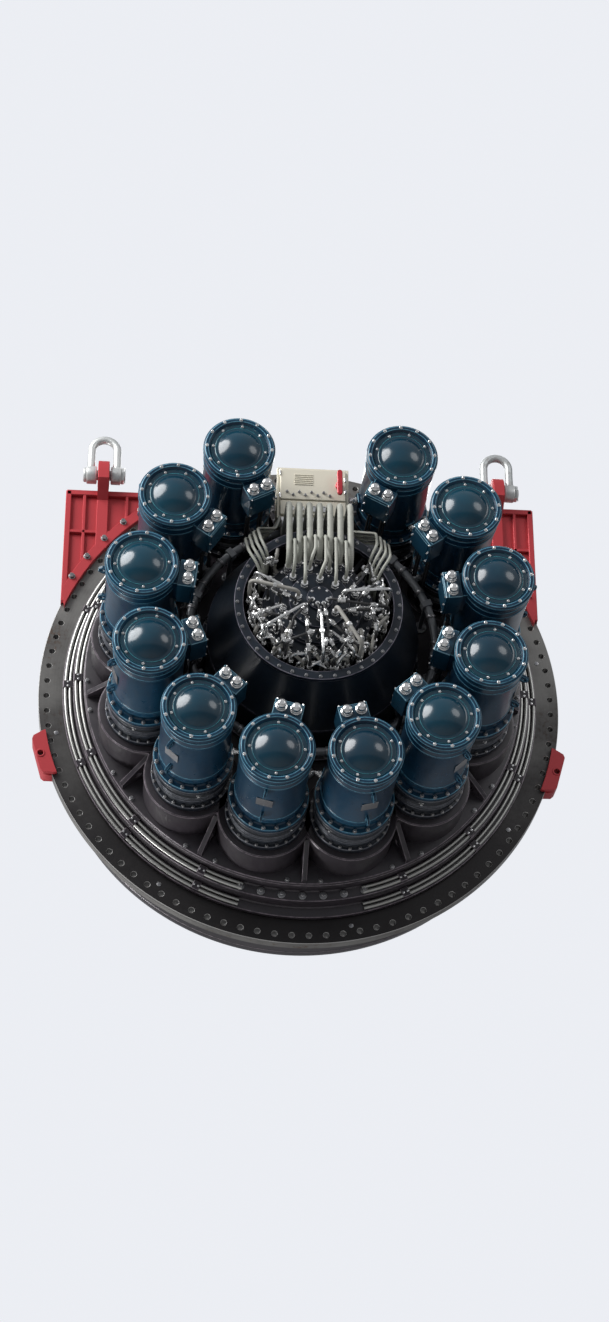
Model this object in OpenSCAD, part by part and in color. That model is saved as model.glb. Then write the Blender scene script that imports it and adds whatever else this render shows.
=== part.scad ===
// Main drive of a tunnel boring machine: a ring of electric motors and planetary
// gearboxes on the gear case that turns the cutterhead, with the rotary union in its middle.
// It is built in millimetres. +Y points forward to the cutterhead and +Z is up.
// Stations are distances behind the contact face of the mounting flange, so a
// positive station is on the motor side and a negative one on the cutterhead side.

/* [Mounting flange] */
// Outer radius of the flange that bolts to the shield
flange_r = 2400; // [2380:10:2460]
// Thickness of the flange
flange_t = 120; // [90:5:160]
// Number of bolt holes in the flange
flange_bolts = 96; // [72:4:104]
// Radius of a bolt hole in the flange
flange_hole_r = 26; // [20:1:30]
// Distance from the flange's hole centres to its rim
flange_edge = 75; // [70:5:85]

/* [Front casing] */
// Distance from the flange's rim in to the casing that stands through the shield's bulkhead
casing_inset = 150; // [140:5:180]
// Wall thickness of the casing
casing_wall = 120; // [80:10:160]
// Length of the casing in front of the flange
casing_l = 600; // [560:10:640]
// Radial space between the cutterhead ring and the bearing's seat
casing_space = 50; // [40:5:80]
// Thickness of the bolted seal rings at the front
seal_t = 40; // [30:5:50]
// Running gap between a seal ring and the cutterhead ring
seal_gap = 10; // [6:1:15]
// Distance from the outer seal ring's rim to the casing's outside
seal_inset = 45; // [30:5:70]

/* [Cutterhead ring] */
// Distance from the flange's rim in to the ring that carries the cutterhead
rotor_inset = 620; // [600:10:660]
// Radial room between the centre drum and the bore of the cutterhead ring
rotor_bore_room = 80; // [70:5:120]
// Distance of the cutterhead's contact face in front of the mounting flange
rotor_face = 740; // [720:10:800]
// Thickness of the cutterhead ring's flange
rotor_flange_t = 360; // [280:10:400]
// Radial step from the cutterhead ring's rim down to its hub
hub_step = 410; // [400:10:480]
// Number of bolt holes for the cutterhead
rotor_bolts = 64; // [48:4:72]
// Radius of a cutterhead bolt hole
rotor_hole_r = 33; // [26:1:36]
// Depth of a cutterhead bolt hole
rotor_hole_depth = 150; // [100:10:200]
// Distance from the cutterhead bolt circle to the ring's rim
rotor_edge = 150; // [110:10:180]

/* [Main bearing] */
// Radial step from the cutterhead ring's hub up to the bearing's raceway
race_step = 30; // [20:5:80]
// Distance of the bearing's front behind the mounting flange's contact face
bearing_front = 60; // [40:5:90]
// Radial step from the raceway down to the gear teeth
gear_step = 55; // [40:5:70]
// Length of the toothed part
gear_l = 150; // [100:10:180]

/* [Gear case] */
// Radial step from the flange's bore out to the case's first collar
case_wall = 310; // [280:10:330]
// Length of the case's first collar
collar_1_l = 60; // [40:5:90]
// Length of the case's second collar
collar_2_l = 150; // [120:10:180]
// Length of the case's third collar
collar_3_l = 150; // [120:10:180]
// Radial step between one collar and the next
collar_step = 95; // [80:5:100]
// Length of the lobed body behind the collars
lobes_l = 380; // [320:10:440]
// Reach of a lobe past the middle between two gear units
lobe_lap = 44; // [34:2:64]
// Height of the lobes' machined faces over the rear wall
boss_step = 10; // [6:1:14]
// Distance from the gear units' circle out to the inside of the case
cavity_room = 70; // [30:10:80]
// Thickness of the case's rear wall
rear_wall_t = 60; // [40:5:80]

/* [Gear units] */
// Distance from the case's third collar in to the circle of the gear units
unit_inset = 460; // [430:5:465]
// Width of the ribs between the lobes of the case
rib_w = 44; // [30:2:60]
// Width of the gearbox flange round the bore that takes the gearbox
unit_land = 52; // [46:1:72]
// Half the gap between the flanges of neighbouring gearboxes
unit_gap = 14; // [10:1:20]
// Thickness of the gearbox's flange
unit_flange_t = 60; // [40:5:80]
// Radial step from the gearbox's flange down to its barrel
barrel_step = 30; // [22:2:50]
// Length of the gearbox's barrel
barrel_l = 260; // [220:10:300]
// Radial step from the gearbox's flange down to the flange of the motor
adapter_step = 4; // [2:1:16]
// Thickness of the flange between gearbox and motor
adapter_t = 50; // [40:5:60]

/* [Motors] */
// Radial step from the gearbox's flange down to the motor's cooling jacket
motor_step = 52; // [42:2:72]
// Length of a motor from its flange to its end shield
motor_l = 930; // [860:10:980]
// Thickness of a motor's foot flange
motor_flange_t = 40; // [30:5:50]
// Radial step from the cooling jacket up to the motor's end shield
shield_step = 14; // [12:1:20]
// Thickness of a motor's end shield
shield_t = 62; // [50:2:80]
// Depth of the dish in a motor's end shield
dish_depth = 30; // [20:2:40]
// Distance from the end shield's rim in to the domed cover over the shaft end
dome_inset = 118; // [108:2:140]
// Height of the domed cover over a motor's shaft end
dome_h = 84; // [60:2:100]
// Width of a terminal box across the motor
box_w = 250; // [200:10:280]
// Length of a terminal box along the motor
box_l = 300; // [240:10:320]
// Height of a terminal box off its pad
box_h = 130; // [100:5:150]
// Height of the pad that a terminal box stands on
pad_h = 34; // [28:1:44]
// Distance of a terminal box from the motor's end shield
box_inset = 20; // [10:5:60]
// Radius of a connector on a terminal box
connector_r = 40; // [32:1:44]
// Length of a connector on a terminal box
connector_l = 88; // [60:2:100]

/* [Centre drum] */
// Outer radius of the drum in the middle of the case, as a share of the gear units' circle
drum_share = 0.608; // [0.595:0.001:0.614]
// Wall thickness of the drum
drum_wall = 45; // [30:5:50]
// Station where the drum starts to narrow
cone_start = 1350; // [1320:10:1400]
// Outer radius of the drum at its mouth, as a share of its full radius
mouth_share = 0.742; // [0.735:0.001:0.775]
// Station of the drum's mouth
mouth_at = 1900; // [1880:10:1940]
// Width of the rim round the mouth, outwards
rim_w = 34; // [24:2:44]
// Length of the rim round the mouth
rim_l = 50; // [40:5:60]
// Length of the drum in front of the mounting flange
drum_front = 540; // [500:10:570]
// Thickness of the plates that close the drum
plate_t = 50; // [40:5:60]
// Station of the rear plate's outer face
plate_at = 1330; // [1300:5:1340]
// Distance of the front plate's outer face in front of the mounting flange
bulkhead_at = 440; // [400:5:460]
// Width of the drum's seat collar on the case
seat_w = 60; // [50:5:70]
// Thickness of the drum's seat collar on the case
seat_t = 50; // [30:5:60]

/* [Rotary union] */
// Radius of the union's shaft
shaft_r = 170; // [150:5:180]
// Radial step from the first distributor disc down to the union's foot flange
foot_step = 60; // [40:5:100]
// Radius of the union's barrel, as a share of the first distributor disc
union_barrel_share = 0.688; // [0.65:0.002:0.71]
// Radius of the first distributor disc, as a share of the drum's mouth
disc_1_share = 0.695; // [0.68:0.001:0.725]
// Radius of the second distributor disc, as a share of the first
disc_2_share = 0.792; // [0.78:0.002:0.81]
// Radius of the third distributor disc, as a share of the first
disc_3_share = 0.542; // [0.53:0.002:0.57]
// Radius of the union's end cap
cap_r = 110; // [90:5:120]
// Station of the first distributor disc's front
disc_1_at = 1690; // [1660:10:1700]
// Length of the first distributor disc
disc_1_l = 170; // [150:10:180]
// Length of the second distributor disc
disc_2_l = 95; // [80:5:100]
// Length of the third distributor disc
disc_3_l = 60; // [50:5:80]
// Length of the end cap
cap_l = 40; // [30:5:60]
// Radius of a hose fitting
fitting_r = 33; // [30:1:36]
// Length of a hose fitting
fitting_l = 62; // [50:2:76]
// Radius of the union's front flange, which bolts to the cutterhead
nose_r = 400; // [360:10:420]
// Thickness of the union's front flange
nose_t = 60; // [40:5:80]
// Distance of the union's front face in front of the cutterhead ring's face
nose_out = 40; // [20:5:60]

/* [Grease cabinet] */
// Width of the cabinet
cabinet_w = 620; // [560:10:640]
// Height of the cabinet
cabinet_h = 500; // [440:10:540]
// Depth of the cabinet along the machine
cabinet_d = 440; // [380:10:480]
// Height of the cabinet's underside above the top of the cooling ring main's circle
cabinet_lift = 70; // [66:2:90]
// Height of the rails under the cabinet
rail_h = 100; // [80:10:130]
// Width of each rail
rail_w = 60; // [50:5:80]
// Thickness of the cover over the empty gear unit place
blank_t = 40; // [30:5:60]
// Radius of a grease hose
hose_r = 27; // [20:1:29]
// Bend radius of a grease hose
hose_bend = 100; // [90:5:110]
// Distance between neighbouring grease hoses
hose_pitch = 88; // [84:2:92]
// Number of grease hoses
hose_count = 7; // [5:1:7]

/* [Pipes] */
// Radius of the ring main that cools the motors
main_pipe_r = 36; // [28:2:40]
// Place of the cooling ring main's circle between the drum's seat collar and the gearboxes
main_share = 0.46; // [0.42:0.01:0.5]
// Height of the cooling ring main above the case's rear wall
main_rise = 430; // [360:10:460]
// Radius of a grease pipe round the case
pipe_r = 15; // [12:1:18]
// Angle over which the grease pipes run on each side
pipe_sweep = 150; // [110:5:160]

/* [Lifting gear] */
// Half width over the lifting brackets, as a share of the flange's radius
bracket_x_share = 0.933; // [0.925:0.001:0.945]
// Height of the lifting brackets' top edge, as a share of the flange's radius
bracket_z_share = 0.867; // [0.858:0.001:0.875]
// Distance of a bracket's inner end from the middle, as a share of the flange's radius
bracket_in_share = 0.583; // [0.575:0.001:0.6]
// Height of a bracket's lower end, as a share of the flange's radius
bracket_low_share = 0.346; // [0.334:0.002:0.358]
// Depth by which a bracket grips over the flange's rim
grip = 46; // [36:2:56]
// Thickness of a bracket's cheek in front of and behind the flange
cheek_t = 60; // [50:5:80]
// Width of the edge strips round a bracket's pocket
strip_w = 52; // [40:4:60]
// Depth of a bracket's pockets
pocket_d = 45; // [30:5:50]
// Distance of the padeyes from the machine's middle, as a share of the flange's radius
eye_x_share = 0.7875; // [0.7795:0.0005:0.7955]
// Height of the padeye holes above the axis, as a share of the flange's radius
eye_z_share = 0.925; // [0.921:0.001:0.933]
// Station of the padeye holes
eye_at = 230; // [220:5:250]
// Radius of the padeye's round top
eye_r = 140; // [130:5:150]
// Thickness of the padeye's plate
eye_t = 110; // [90:5:120]

/* [Shackles] */
// Radius of a shackle's pin
pin_r = 48; // [40:1:54]
// Radius of a shackle's bar
bar_r = 38; // [34:1:42]
// Radius of a shackle's bow, to the middle of its bar
bow_r = 122; // [118:2:136]
// Height of the bow's centre above the pin
bow_h = 270; // [260:5:300]
// Radius of a shackle's ear
ear_r = 86; // [80:2:94]

/* [Tag line lugs] */
// Angle of the lugs below the machine's axis
lug_angle = 16; // [12:1:20]
// Width of a lug along the rim
lug_w = 440; // [400:10:480]
// Reach of a lug outside the flange's rim
lug_out = 85; // [75:5:100]
// Radius of the hole in a lug
lug_hole_r = 26; // [20:1:30]

/* [Hidden] */
$fn = 96;
// Radial room round a spigot, plug or plate that seats on a flat face
seat_clear = 0.5;
// Radial room of the running fits: the main bearing, the union's bore and the padeyes
run_clear = 0.1;
// Hair gap between a pipe and a post or branch that is welded to it
touch_clear = 0.05;
// Room between a padeye and the shackle's ears
jaw_clear = 10;
// Sides with a bracket or a shackle: -1 is left and 1 is right, looking forward
LEFT = -1;
RIGHT = 1;
// Places for gear units round the case: one for each motor and the empty one at the top
unit_count = 13;
// Stations and radii that follow from the driving sizes
casing_r = flange_r - casing_inset;
rotor_r = flange_r - rotor_inset;
rotor_hub_r = rotor_r - hub_step;
raceway_r = rotor_hub_r + race_step;
flange_bore_r = rotor_r + casing_space + 40;
bolt_circle_r = flange_r - flange_edge;
collar_1_r = flange_bore_r + case_wall;
collar_2_r = collar_1_r - collar_step;
collar_3_r = collar_2_r - collar_step;
unit_ring_r = collar_3_r - unit_inset;
unit_half = unit_ring_r * sin(180 / unit_count);
lobe_r = unit_half + lobe_lap;
cavity_r = unit_ring_r + cavity_room;
unit_flange_r = unit_half - unit_gap;
unit_bore_r = unit_flange_r - unit_land;
barrel_r = unit_flange_r - barrel_step;
adapter_r = unit_flange_r - adapter_step;
motor_r = unit_flange_r - motor_step;
shield_r = motor_r + shield_step;
dome_r = shield_r - dome_inset;
drum_r = unit_ring_r * drum_share;
rotor_bore_r = drum_r + rotor_bore_room;
seat_r = drum_r + seat_w;
main_ring_r = seat_r + (unit_ring_r - barrel_r - seat_r) * main_share;
mouth_r = drum_r * mouth_share;
disc_1_r = mouth_r * disc_1_share;
disc_2_r = disc_1_r * disc_2_share;
disc_3_r = disc_1_r * disc_3_share;
foot_r = disc_1_r - foot_step;
union_barrel_r = disc_1_r * union_barrel_share;
cabinet_z = main_ring_r + cabinet_lift;
cabinet_lip = 14;
bracket_x = flange_r * bracket_x_share;
bracket_z = flange_r * bracket_z_share;
bracket_in = flange_r * bracket_in_share;
bracket_low = flange_r * bracket_low_share;
eye_x = flange_r * eye_x_share;
eye_z = flange_r * eye_z_share;
collar_1_end = flange_t + collar_1_l;
collar_2_end = collar_1_end + collar_2_l;
collar_3_end = collar_2_end + collar_3_l;
case_rear = collar_3_end + lobes_l;
wall_rear = case_rear - boss_step;
bearing_rear = collar_2_end;
unit_flange_end = case_rear + unit_flange_t;
barrel_end = unit_flange_end + barrel_l;
adapter_end = barrel_end + adapter_t;
motor_end = adapter_end + motor_l;
shield_end = motor_end + shield_t;
disc_1_end = disc_1_at + disc_1_l;
disc_2_end = disc_1_end + disc_2_l;
disc_3_end = disc_2_end + disc_3_l;
blank_end = case_rear + blank_t;
cabinet_front = blank_end + rail_h;
cabinet_rear = cabinet_front + cabinet_d;
rotor_hub_front = rotor_flange_t - rotor_face;
fitting_1_r = (disc_1_r + disc_2_r) / 2;
fitting_2_r = (disc_2_r + disc_3_r) / 2;
fitting_3_r = (disc_3_r + cap_r) / 2;
union_bore_end = disc_2_end;
spigot_r = union_barrel_r - 60;
foot_end = plate_at + 60;
neck_end = plate_t - bulkhead_at;
main_at = case_rear + main_rise;
branch_r = main_pipe_r * 0.6;

// Turns a shape that stands on the XY plane so that its height runs rearwards:
// local x is the machine's X, local y is its Z and local z is the station.
module on_axis() rotate([90, 0, 0]) children();

// A ring between two radii and two stations.
module ring(r_out, r_in, from, to) {
    translate([0, 0, from]) difference() {
        cylinder(r = r_out, h = to - from);
        translate([0, 0, -1]) cylinder(r = r_in, h = to - from + 2);
    }
}

// A plain round bar between two stations.
module disc(r, from, to) translate([0, 0, from]) cylinder(r = r, h = to - from);

// Copies of a shape round the axis, one at each angle.
module at_angles(angles, r) for (a = angles) rotate([0, 0, a]) translate([r, 0, 0]) children();

// Angle of a gear unit place. Place 0 is the empty one at the top.
function unit_angle(k) = 90 + k * 360 / unit_count;
function even_angles(n, first) = [for (i = [0:n - 1]) first + i * 360 / n];
all_places = [for (k = [0:unit_count - 1]) unit_angle(k)];
motor_places = [for (k = [1:unit_count - 1]) unit_angle(k)];
rib_places = even_angles(unit_count, unit_angle(0.5));

module mounting_flange() {
    color([0.42, 0.41, 0.40]) on_axis() difference() {
        ring(flange_r, flange_bore_r, 0, flange_t);
        at_angles(even_angles(flange_bolts, 180 / flange_bolts), bolt_circle_r)
            disc(flange_hole_r, -1, flange_t + 1);
    }
}

module front_casing() {
    color([0.16, 0.16, 0.17]) on_axis() ring(casing_r, casing_r - casing_wall, -casing_l, 0);
}

module outer_seal_ring() {
    color([0.5, 0.5, 0.5]) on_axis()
        ring(casing_r - seal_inset, rotor_r + seal_gap, -casing_l - seal_t, -casing_l);
}

// The front of the gear case: three collars round the main bearing.
module gear_case() {
    color([0.16, 0.16, 0.17]) on_axis() rotate_extrude() polygon([
        [flange_bore_r, flange_t], [collar_1_r, flange_t], [collar_1_r, collar_1_end],
        [collar_2_r, collar_1_end], [collar_2_r, collar_2_end], [collar_3_r, collar_2_end],
        [collar_3_r, collar_3_end], [cavity_r, collar_3_end], [cavity_r, bearing_rear],
        [flange_bore_r, bearing_rear]]);
}

// A rib in the valley between two lobes. It starts ahead of the joint with the collars.
module case_rib() {
    valley_r = unit_ring_r * cos(180 / unit_count);
    tip_r = collar_3_r - 20;
    toe = 60;
    rotate([90, 0, 0]) translate([0, 0, -rib_w / 2]) linear_extrude(rib_w) polygon([
        [valley_r, collar_3_end - toe], [tip_r, collar_3_end - toe],
        [tip_r, collar_3_end + toe], [valley_r + lobe_r / 2, case_rear - toe],
        [valley_r, case_rear - toe]]);
}

// The rear of the gear case: a lobed body with a bore for each gear unit. The lobes start
// ahead of the joint with the collars, and one turned shape cuts the joint and the hollow.
module case_lobes() {
    wall_front = case_rear - rear_wall_t;
    lobe_root = collar_3_end - 50;
    body_r = cavity_r + 30;
    beyond = 25;
    color([0.16, 0.16, 0.17]) on_axis() difference() {
        union() {
            disc(body_r, lobe_root, wall_rear);
            at_angles(all_places, unit_ring_r) disc(lobe_r, lobe_root, case_rear);
            at_angles(rib_places, 0) case_rib();
        }
        rotate_extrude() polygon([
            [0, lobe_root - beyond], [collar_1_r, lobe_root - beyond], [collar_1_r, collar_3_end],
            [cavity_r, collar_3_end], [cavity_r, wall_front], [drum_r + seat_clear, wall_front],
            [drum_r + seat_clear, case_rear + beyond], [0, case_rear + beyond]]);
        at_angles(all_places, unit_ring_r)
            disc(unit_bore_r, wall_front - beyond, case_rear + beyond);
    }
}

module bearing_outer_ring() {
    color([0.5, 0.5, 0.5]) on_axis()
        ring(flange_bore_r - 10, raceway_r, bearing_front, bearing_rear);
}

// The neck at the drum's front, round the bulkhead.
module drum_neck() {
    color([0.2, 0.2, 0.22]) on_axis() ring(drum_r, drum_r - drum_wall, -drum_front, neck_end);
}

// The drum through the middle of the case, with the collar that seats it on the case.
module centre_drum() {
    color([0.2, 0.2, 0.22]) on_axis() rotate_extrude() polygon([
        [drum_r, neck_end], [drum_r, wall_rear], [seat_r, wall_rear],
        [seat_r, wall_rear + seat_t], [drum_r, wall_rear + seat_t], [drum_r, cone_start],
        [drum_r - drum_wall, cone_start], [drum_r - drum_wall, neck_end]]);
}

// The cone behind the drum, which narrows to the mouth and its rim.
module drum_mouth() {
    color([0.2, 0.2, 0.22]) on_axis() rotate_extrude() polygon([
        [drum_r, cone_start], [mouth_r, mouth_at], [mouth_r + rim_w, mouth_at],
        [mouth_r + rim_w, mouth_at + rim_l], [mouth_r - drum_wall, mouth_at + rim_l],
        [mouth_r - drum_wall, mouth_at], [drum_r - drum_wall, cone_start]]);
}

module drum_plate() {
    color([0.2, 0.2, 0.22]) on_axis()
        ring(drum_r - drum_wall - seat_clear, spigot_r + seat_clear, plate_at - plate_t, plate_at);
}

module centre_bulkhead() {
    color([0.2, 0.2, 0.22]) on_axis()
        ring(drum_r - drum_wall - seat_clear, shaft_r + 25, -bulkhead_at, plate_t - bulkhead_at);
}

module inner_seal_ring() {
    color([0.5, 0.5, 0.5]) on_axis()
        ring(rotor_bore_r - seal_gap, drum_r - drum_wall, -drum_front - seal_t, -drum_front);
}

// One gearbox on the local axis: spigot, flange, ribbed barrel and adapter flange.
module gearbox() {
    rib = 14;
    spigot_l = rear_wall_t - 5;
    third = barrel_l / 3;
    rotate_extrude() polygon([
        [0, case_rear - spigot_l], [unit_bore_r - seat_clear, case_rear - spigot_l],
        [unit_bore_r - seat_clear, case_rear], [unit_flange_r, case_rear],
        [unit_flange_r, unit_flange_end], [barrel_r, unit_flange_end],
        [barrel_r, unit_flange_end + third], [barrel_r + rib, unit_flange_end + third],
        [barrel_r + rib, barrel_end - third], [barrel_r, barrel_end - third],
        [barrel_r, barrel_end], [adapter_r, barrel_end], [adapter_r, adapter_end],
        [0, adapter_end]]);
}

module gearboxes() {
    color([0.15, 0.16, 0.18]) on_axis()
        at_angles(motor_places, unit_ring_r) gearbox();
}

// One motor on the local axis, with the pad for its terminal box on the side that
// faces the machine's middle.
module motor(k) {
    band = 10;
    band_l = 46;
    foot_r = adapter_r - 6;
    jacket_from = adapter_end + motor_flange_t + 60;
    jacket_to = motor_end - 50;
    box_to = motor_end - box_inset;
    dome_at = shield_end - dish_depth;
    sphere_r = (dome_r * dome_r + dome_h * dome_h) / (2 * dome_h);
    color([0.06, 0.22, 0.36]) on_axis() at_angles([unit_angle(k)], unit_ring_r) {
        intersection() {
            translate([0, 0, dome_at + dome_h - sphere_r]) sphere(r = sphere_r);
            disc(dome_r, dome_at - 5, dome_at + dome_h + 1);
        }
        rotate_extrude() polygon([
            [0, adapter_end], [foot_r, adapter_end], [foot_r, adapter_end + motor_flange_t],
            [motor_r - band, adapter_end + motor_flange_t], [motor_r - band, jacket_from],
            [motor_r, jacket_from], [motor_r, jacket_to], [motor_r - band, jacket_to],
            [motor_r - band, motor_end], [shield_r, motor_end],
            [shield_r, shield_end - 18], [shield_r - 18, shield_end],
            [shield_r - band_l, shield_end], [shield_r - band_l - 20, dome_at], [0, dome_at]]);
        translate([-motor_r - pad_h, -box_w / 2 + 15, box_to - box_l + 15])
            cube([motor_r / 2, box_w - 30, box_l - 30]);
    }
}

// Terminal boxes on the motors' pads.
module terminal_boxes() {
    box_to = motor_end - box_inset;
    color([0.10, 0.24, 0.36]) on_axis()
        at_angles(motor_places, unit_ring_r)
            translate([-motor_r - pad_h - box_h, -box_w / 2, box_to - box_l])
                cube([box_h, box_w, box_l]);
}

// Pairs of plugged connectors on the rear ends of the terminal boxes.
module motor_connectors() {
    box_to = motor_end - box_inset;
    flange_l = 16;
    color([0.72, 0.72, 0.72]) on_axis()
        at_angles(motor_places, unit_ring_r)
            for (side = [-1, 1])
                translate([-motor_r - pad_h - box_h / 2, side * box_w / 4, 0]) {
                    disc(connector_r + 10, box_to, box_to + flange_l);
                    disc(connector_r, box_to + flange_l, box_to + connector_l);
                }
}

module blank_cover() {
    plug_l = rear_wall_t;
    color([0.17, 0.17, 0.18]) on_axis() at_angles([unit_angle(0)], unit_ring_r) {
        disc(unit_bore_r - seat_clear, case_rear - plug_l, case_rear);
        disc(unit_flange_r, case_rear, blank_end);
    }
}

// Two rails on the blank cover that carry the cabinet.
module cabinet_stand() {
    color([0.25, 0.25, 0.26]) on_axis() for (side = [-1, 1])
        translate([side * (cabinet_w / 3) - rail_w / 2, cabinet_z + 30, blank_end])
            cube([rail_w, cabinet_h - 60, rail_h]);
}

module grease_cabinet() {
    color([0.80, 0.77, 0.66]) on_axis() {
        translate([-cabinet_w / 2, cabinet_z, cabinet_front])
            cube([cabinet_w, cabinet_h, cabinet_d]);
        translate([-cabinet_w / 2 - cabinet_lip, cabinet_z - cabinet_lip, cabinet_rear - 70])
            cube([cabinet_w + 2 * cabinet_lip, cabinet_h + 2 * cabinet_lip, 40]);
    }
}

// The red shut-off valve on the cabinet's door.
module cabinet_valve() {
    lever_l = 260;
    at = [cabinet_w / 2 - 75, cabinet_z + cabinet_h - 180, cabinet_rear];
    color([0.62, 0.10, 0.12]) on_axis() translate(at) {
        cylinder(r = 34, h = 70);
        translate([-24, -lever_l / 2, 60]) cube([48, lever_l, 26]);
    }
}

// Height of the fitting that a grease hose starts on, by its distance from the middle.
function hose_foot(x) = sqrt(pow(fitting_1_r, 2) - x * x);
hose_xs = [for (i = [0:hose_count - 1]) (i - (hose_count - 1) / 2) * hose_pitch];

// Grease hoses: out of a fitting, over the drum's mouth, and up into the cabinet's floor.
module grease_hoses() {
    foot_at = disc_1_end + fitting_l;
    back = disc_3_end + cap_l - 65;
    over = drum_r;
    rise_at = cabinet_rear - 50;
    rise_end = rise_at + hose_bend;
    color([0.62, 0.60, 0.53]) on_axis() for (x = hose_xs) {
        low = hose_foot(x) + hose_bend;
        high = over - hose_bend;
        translate([x, hose_foot(x), foot_at]) cylinder(r = hose_r, h = back - foot_at);
        hose_turn(x, low, back, 180);
        translate([x, low, back + hose_bend]) rotate([-90, 0, 0]) cylinder(r = hose_r, h = high - low);
        hose_turn(x, high, back, 90);
        translate([x, over, rise_end]) cylinder(r = hose_r, h = back - rise_end);
        hose_turn(x, over + hose_bend, rise_end, 270);
        translate([x, over + hose_bend, rise_at]) rotate([-90, 0, 0])
            cylinder(r = hose_r, h = cabinet_z - cabinet_lip - over - hose_bend);
    }
}

// A quarter turn of a hose round a point at a height and a station.
module hose_turn(x, height, station, first) {
    translate([x, height, station]) rotate([0, 90, 0]) rotate([0, 0, first])
        rotate_extrude(angle = 90) translate([hose_bend, 0]) circle(r = hose_r);
}

// The foot that seats the rotary union on the drum's rear plate.
module union_foot() {
    color([0.22, 0.22, 0.24]) on_axis() rotate_extrude() polygon([
        [shaft_r + run_clear, plate_at - plate_t], [spigot_r, plate_at - plate_t],
        [spigot_r, plate_at], [foot_r, plate_at], [foot_r, foot_end],
        [shaft_r + run_clear, foot_end]]);
}

// The union's barrel, between its foot and its distributor discs.
module union_barrel() {
    color([0.22, 0.22, 0.24]) on_axis()
        ring(union_barrel_r, shaft_r + run_clear, foot_end, disc_1_at);
}

// The union's distributor discs and end cap.
module rotary_union() {
    color([0.22, 0.22, 0.24]) on_axis() rotate_extrude() polygon([
        [shaft_r + run_clear, disc_1_at], [disc_1_r, disc_1_at], [disc_1_r, disc_1_end],
        [disc_2_r, disc_1_end], [disc_2_r, disc_2_end], [disc_3_r, disc_2_end],
        [disc_3_r, disc_3_end], [cap_r, disc_3_end], [cap_r, disc_3_end + cap_l],
        [0, disc_3_end + cap_l], [0, union_bore_end], [shaft_r + run_clear, union_bore_end]]);
}

// Hose fittings on the distributor discs. The first disc's upper ones carry the grease hoses.
module union_fittings() {
    lower_count = 8;
    lower_sweep = 160;
    lower = [for (i = [0:lower_count - 1]) 270 + (i / (lower_count - 1) - 0.5) * lower_sweep];
    middle = even_angles(12, 15);
    inner = even_angles(8, 0);
    color([0.72, 0.72, 0.72]) on_axis() {
        for (x = hose_xs)
            translate([x, hose_foot(x), disc_1_end]) cylinder(r = fitting_r, h = fitting_l);
        at_angles(lower, fitting_1_r) disc(fitting_r, disc_1_end, disc_1_end + fitting_l);
        at_angles(middle, fitting_2_r) disc(fitting_r, disc_2_end, disc_2_end + fitting_l);
        at_angles(inner, fitting_3_r) disc(fitting_r, disc_3_end, disc_3_end + fitting_l);
    }
}

// The ring main for the motors' cooling water.
module cooling_main(r) {
    translate([0, 0, main_at]) rotate_extrude() translate([main_ring_r, 0]) circle(r = r);
}
module cooling_ring() {
    color([0.30, 0.31, 0.33]) on_axis() cooling_main(main_pipe_r);
}

// Posts that carry the ring main between the gear units, each on its own pad.
module cooling_posts() {
    pad_r = main_pipe_r * 1.6;
    pad_t = 16;
    color([0.30, 0.31, 0.33]) on_axis() difference() {
        at_angles(rib_places, main_ring_r) {
            disc(branch_r, wall_rear, main_at);
            disc(pad_r, wall_rear, wall_rear + pad_t);
        }
        cooling_main(main_pipe_r + touch_clear);
    }
}

// Branch pipes from the ring main towards the gear units.
module cooling_branches() {
    barrel_gap = 25;
    branch_l = unit_ring_r - barrel_r - barrel_gap - main_ring_r;
    color([0.30, 0.31, 0.33]) on_axis() difference() {
        at_angles(motor_places, main_ring_r)
            translate([0, 0, main_at]) rotate([0, 90, 0]) cylinder(r = branch_r, h = branch_l);
        cooling_main(main_pipe_r + touch_clear);
    }
}

// Grease pipes in pairs on the case's collars, held down by clamps.
module grease_pipes() {
    clamp_w = 70;
    clamp_count = 7;
    clamp_h = 2 * pipe_r + 16;
    clamp_depth = 4 * pipe_r + 24;
    rows = [[(collar_1_r + collar_2_r) / 2, collar_1_end], [(collar_2_r + collar_3_r) / 2, collar_2_end]];
    color([0.45, 0.45, 0.43]) on_axis() for (row = rows, side = [0, 180]) {
        first = side - pipe_sweep / 2;
        for (lane = [-1, 1])
            translate([0, 0, row[1] + clamp_h / 2]) rotate([0, 0, first])
                rotate_extrude(angle = pipe_sweep)
                    translate([row[0] + lane * (pipe_r + 6), 0]) circle(r = pipe_r);
        for (i = [0:clamp_count - 1])
            rotate([0, 0, first + (i + 0.5) * pipe_sweep / clamp_count])
                translate([row[0] - clamp_depth / 2, -clamp_w / 2, row[1]])
                    cube([clamp_depth, clamp_w, clamp_h]);
    }
}

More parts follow.
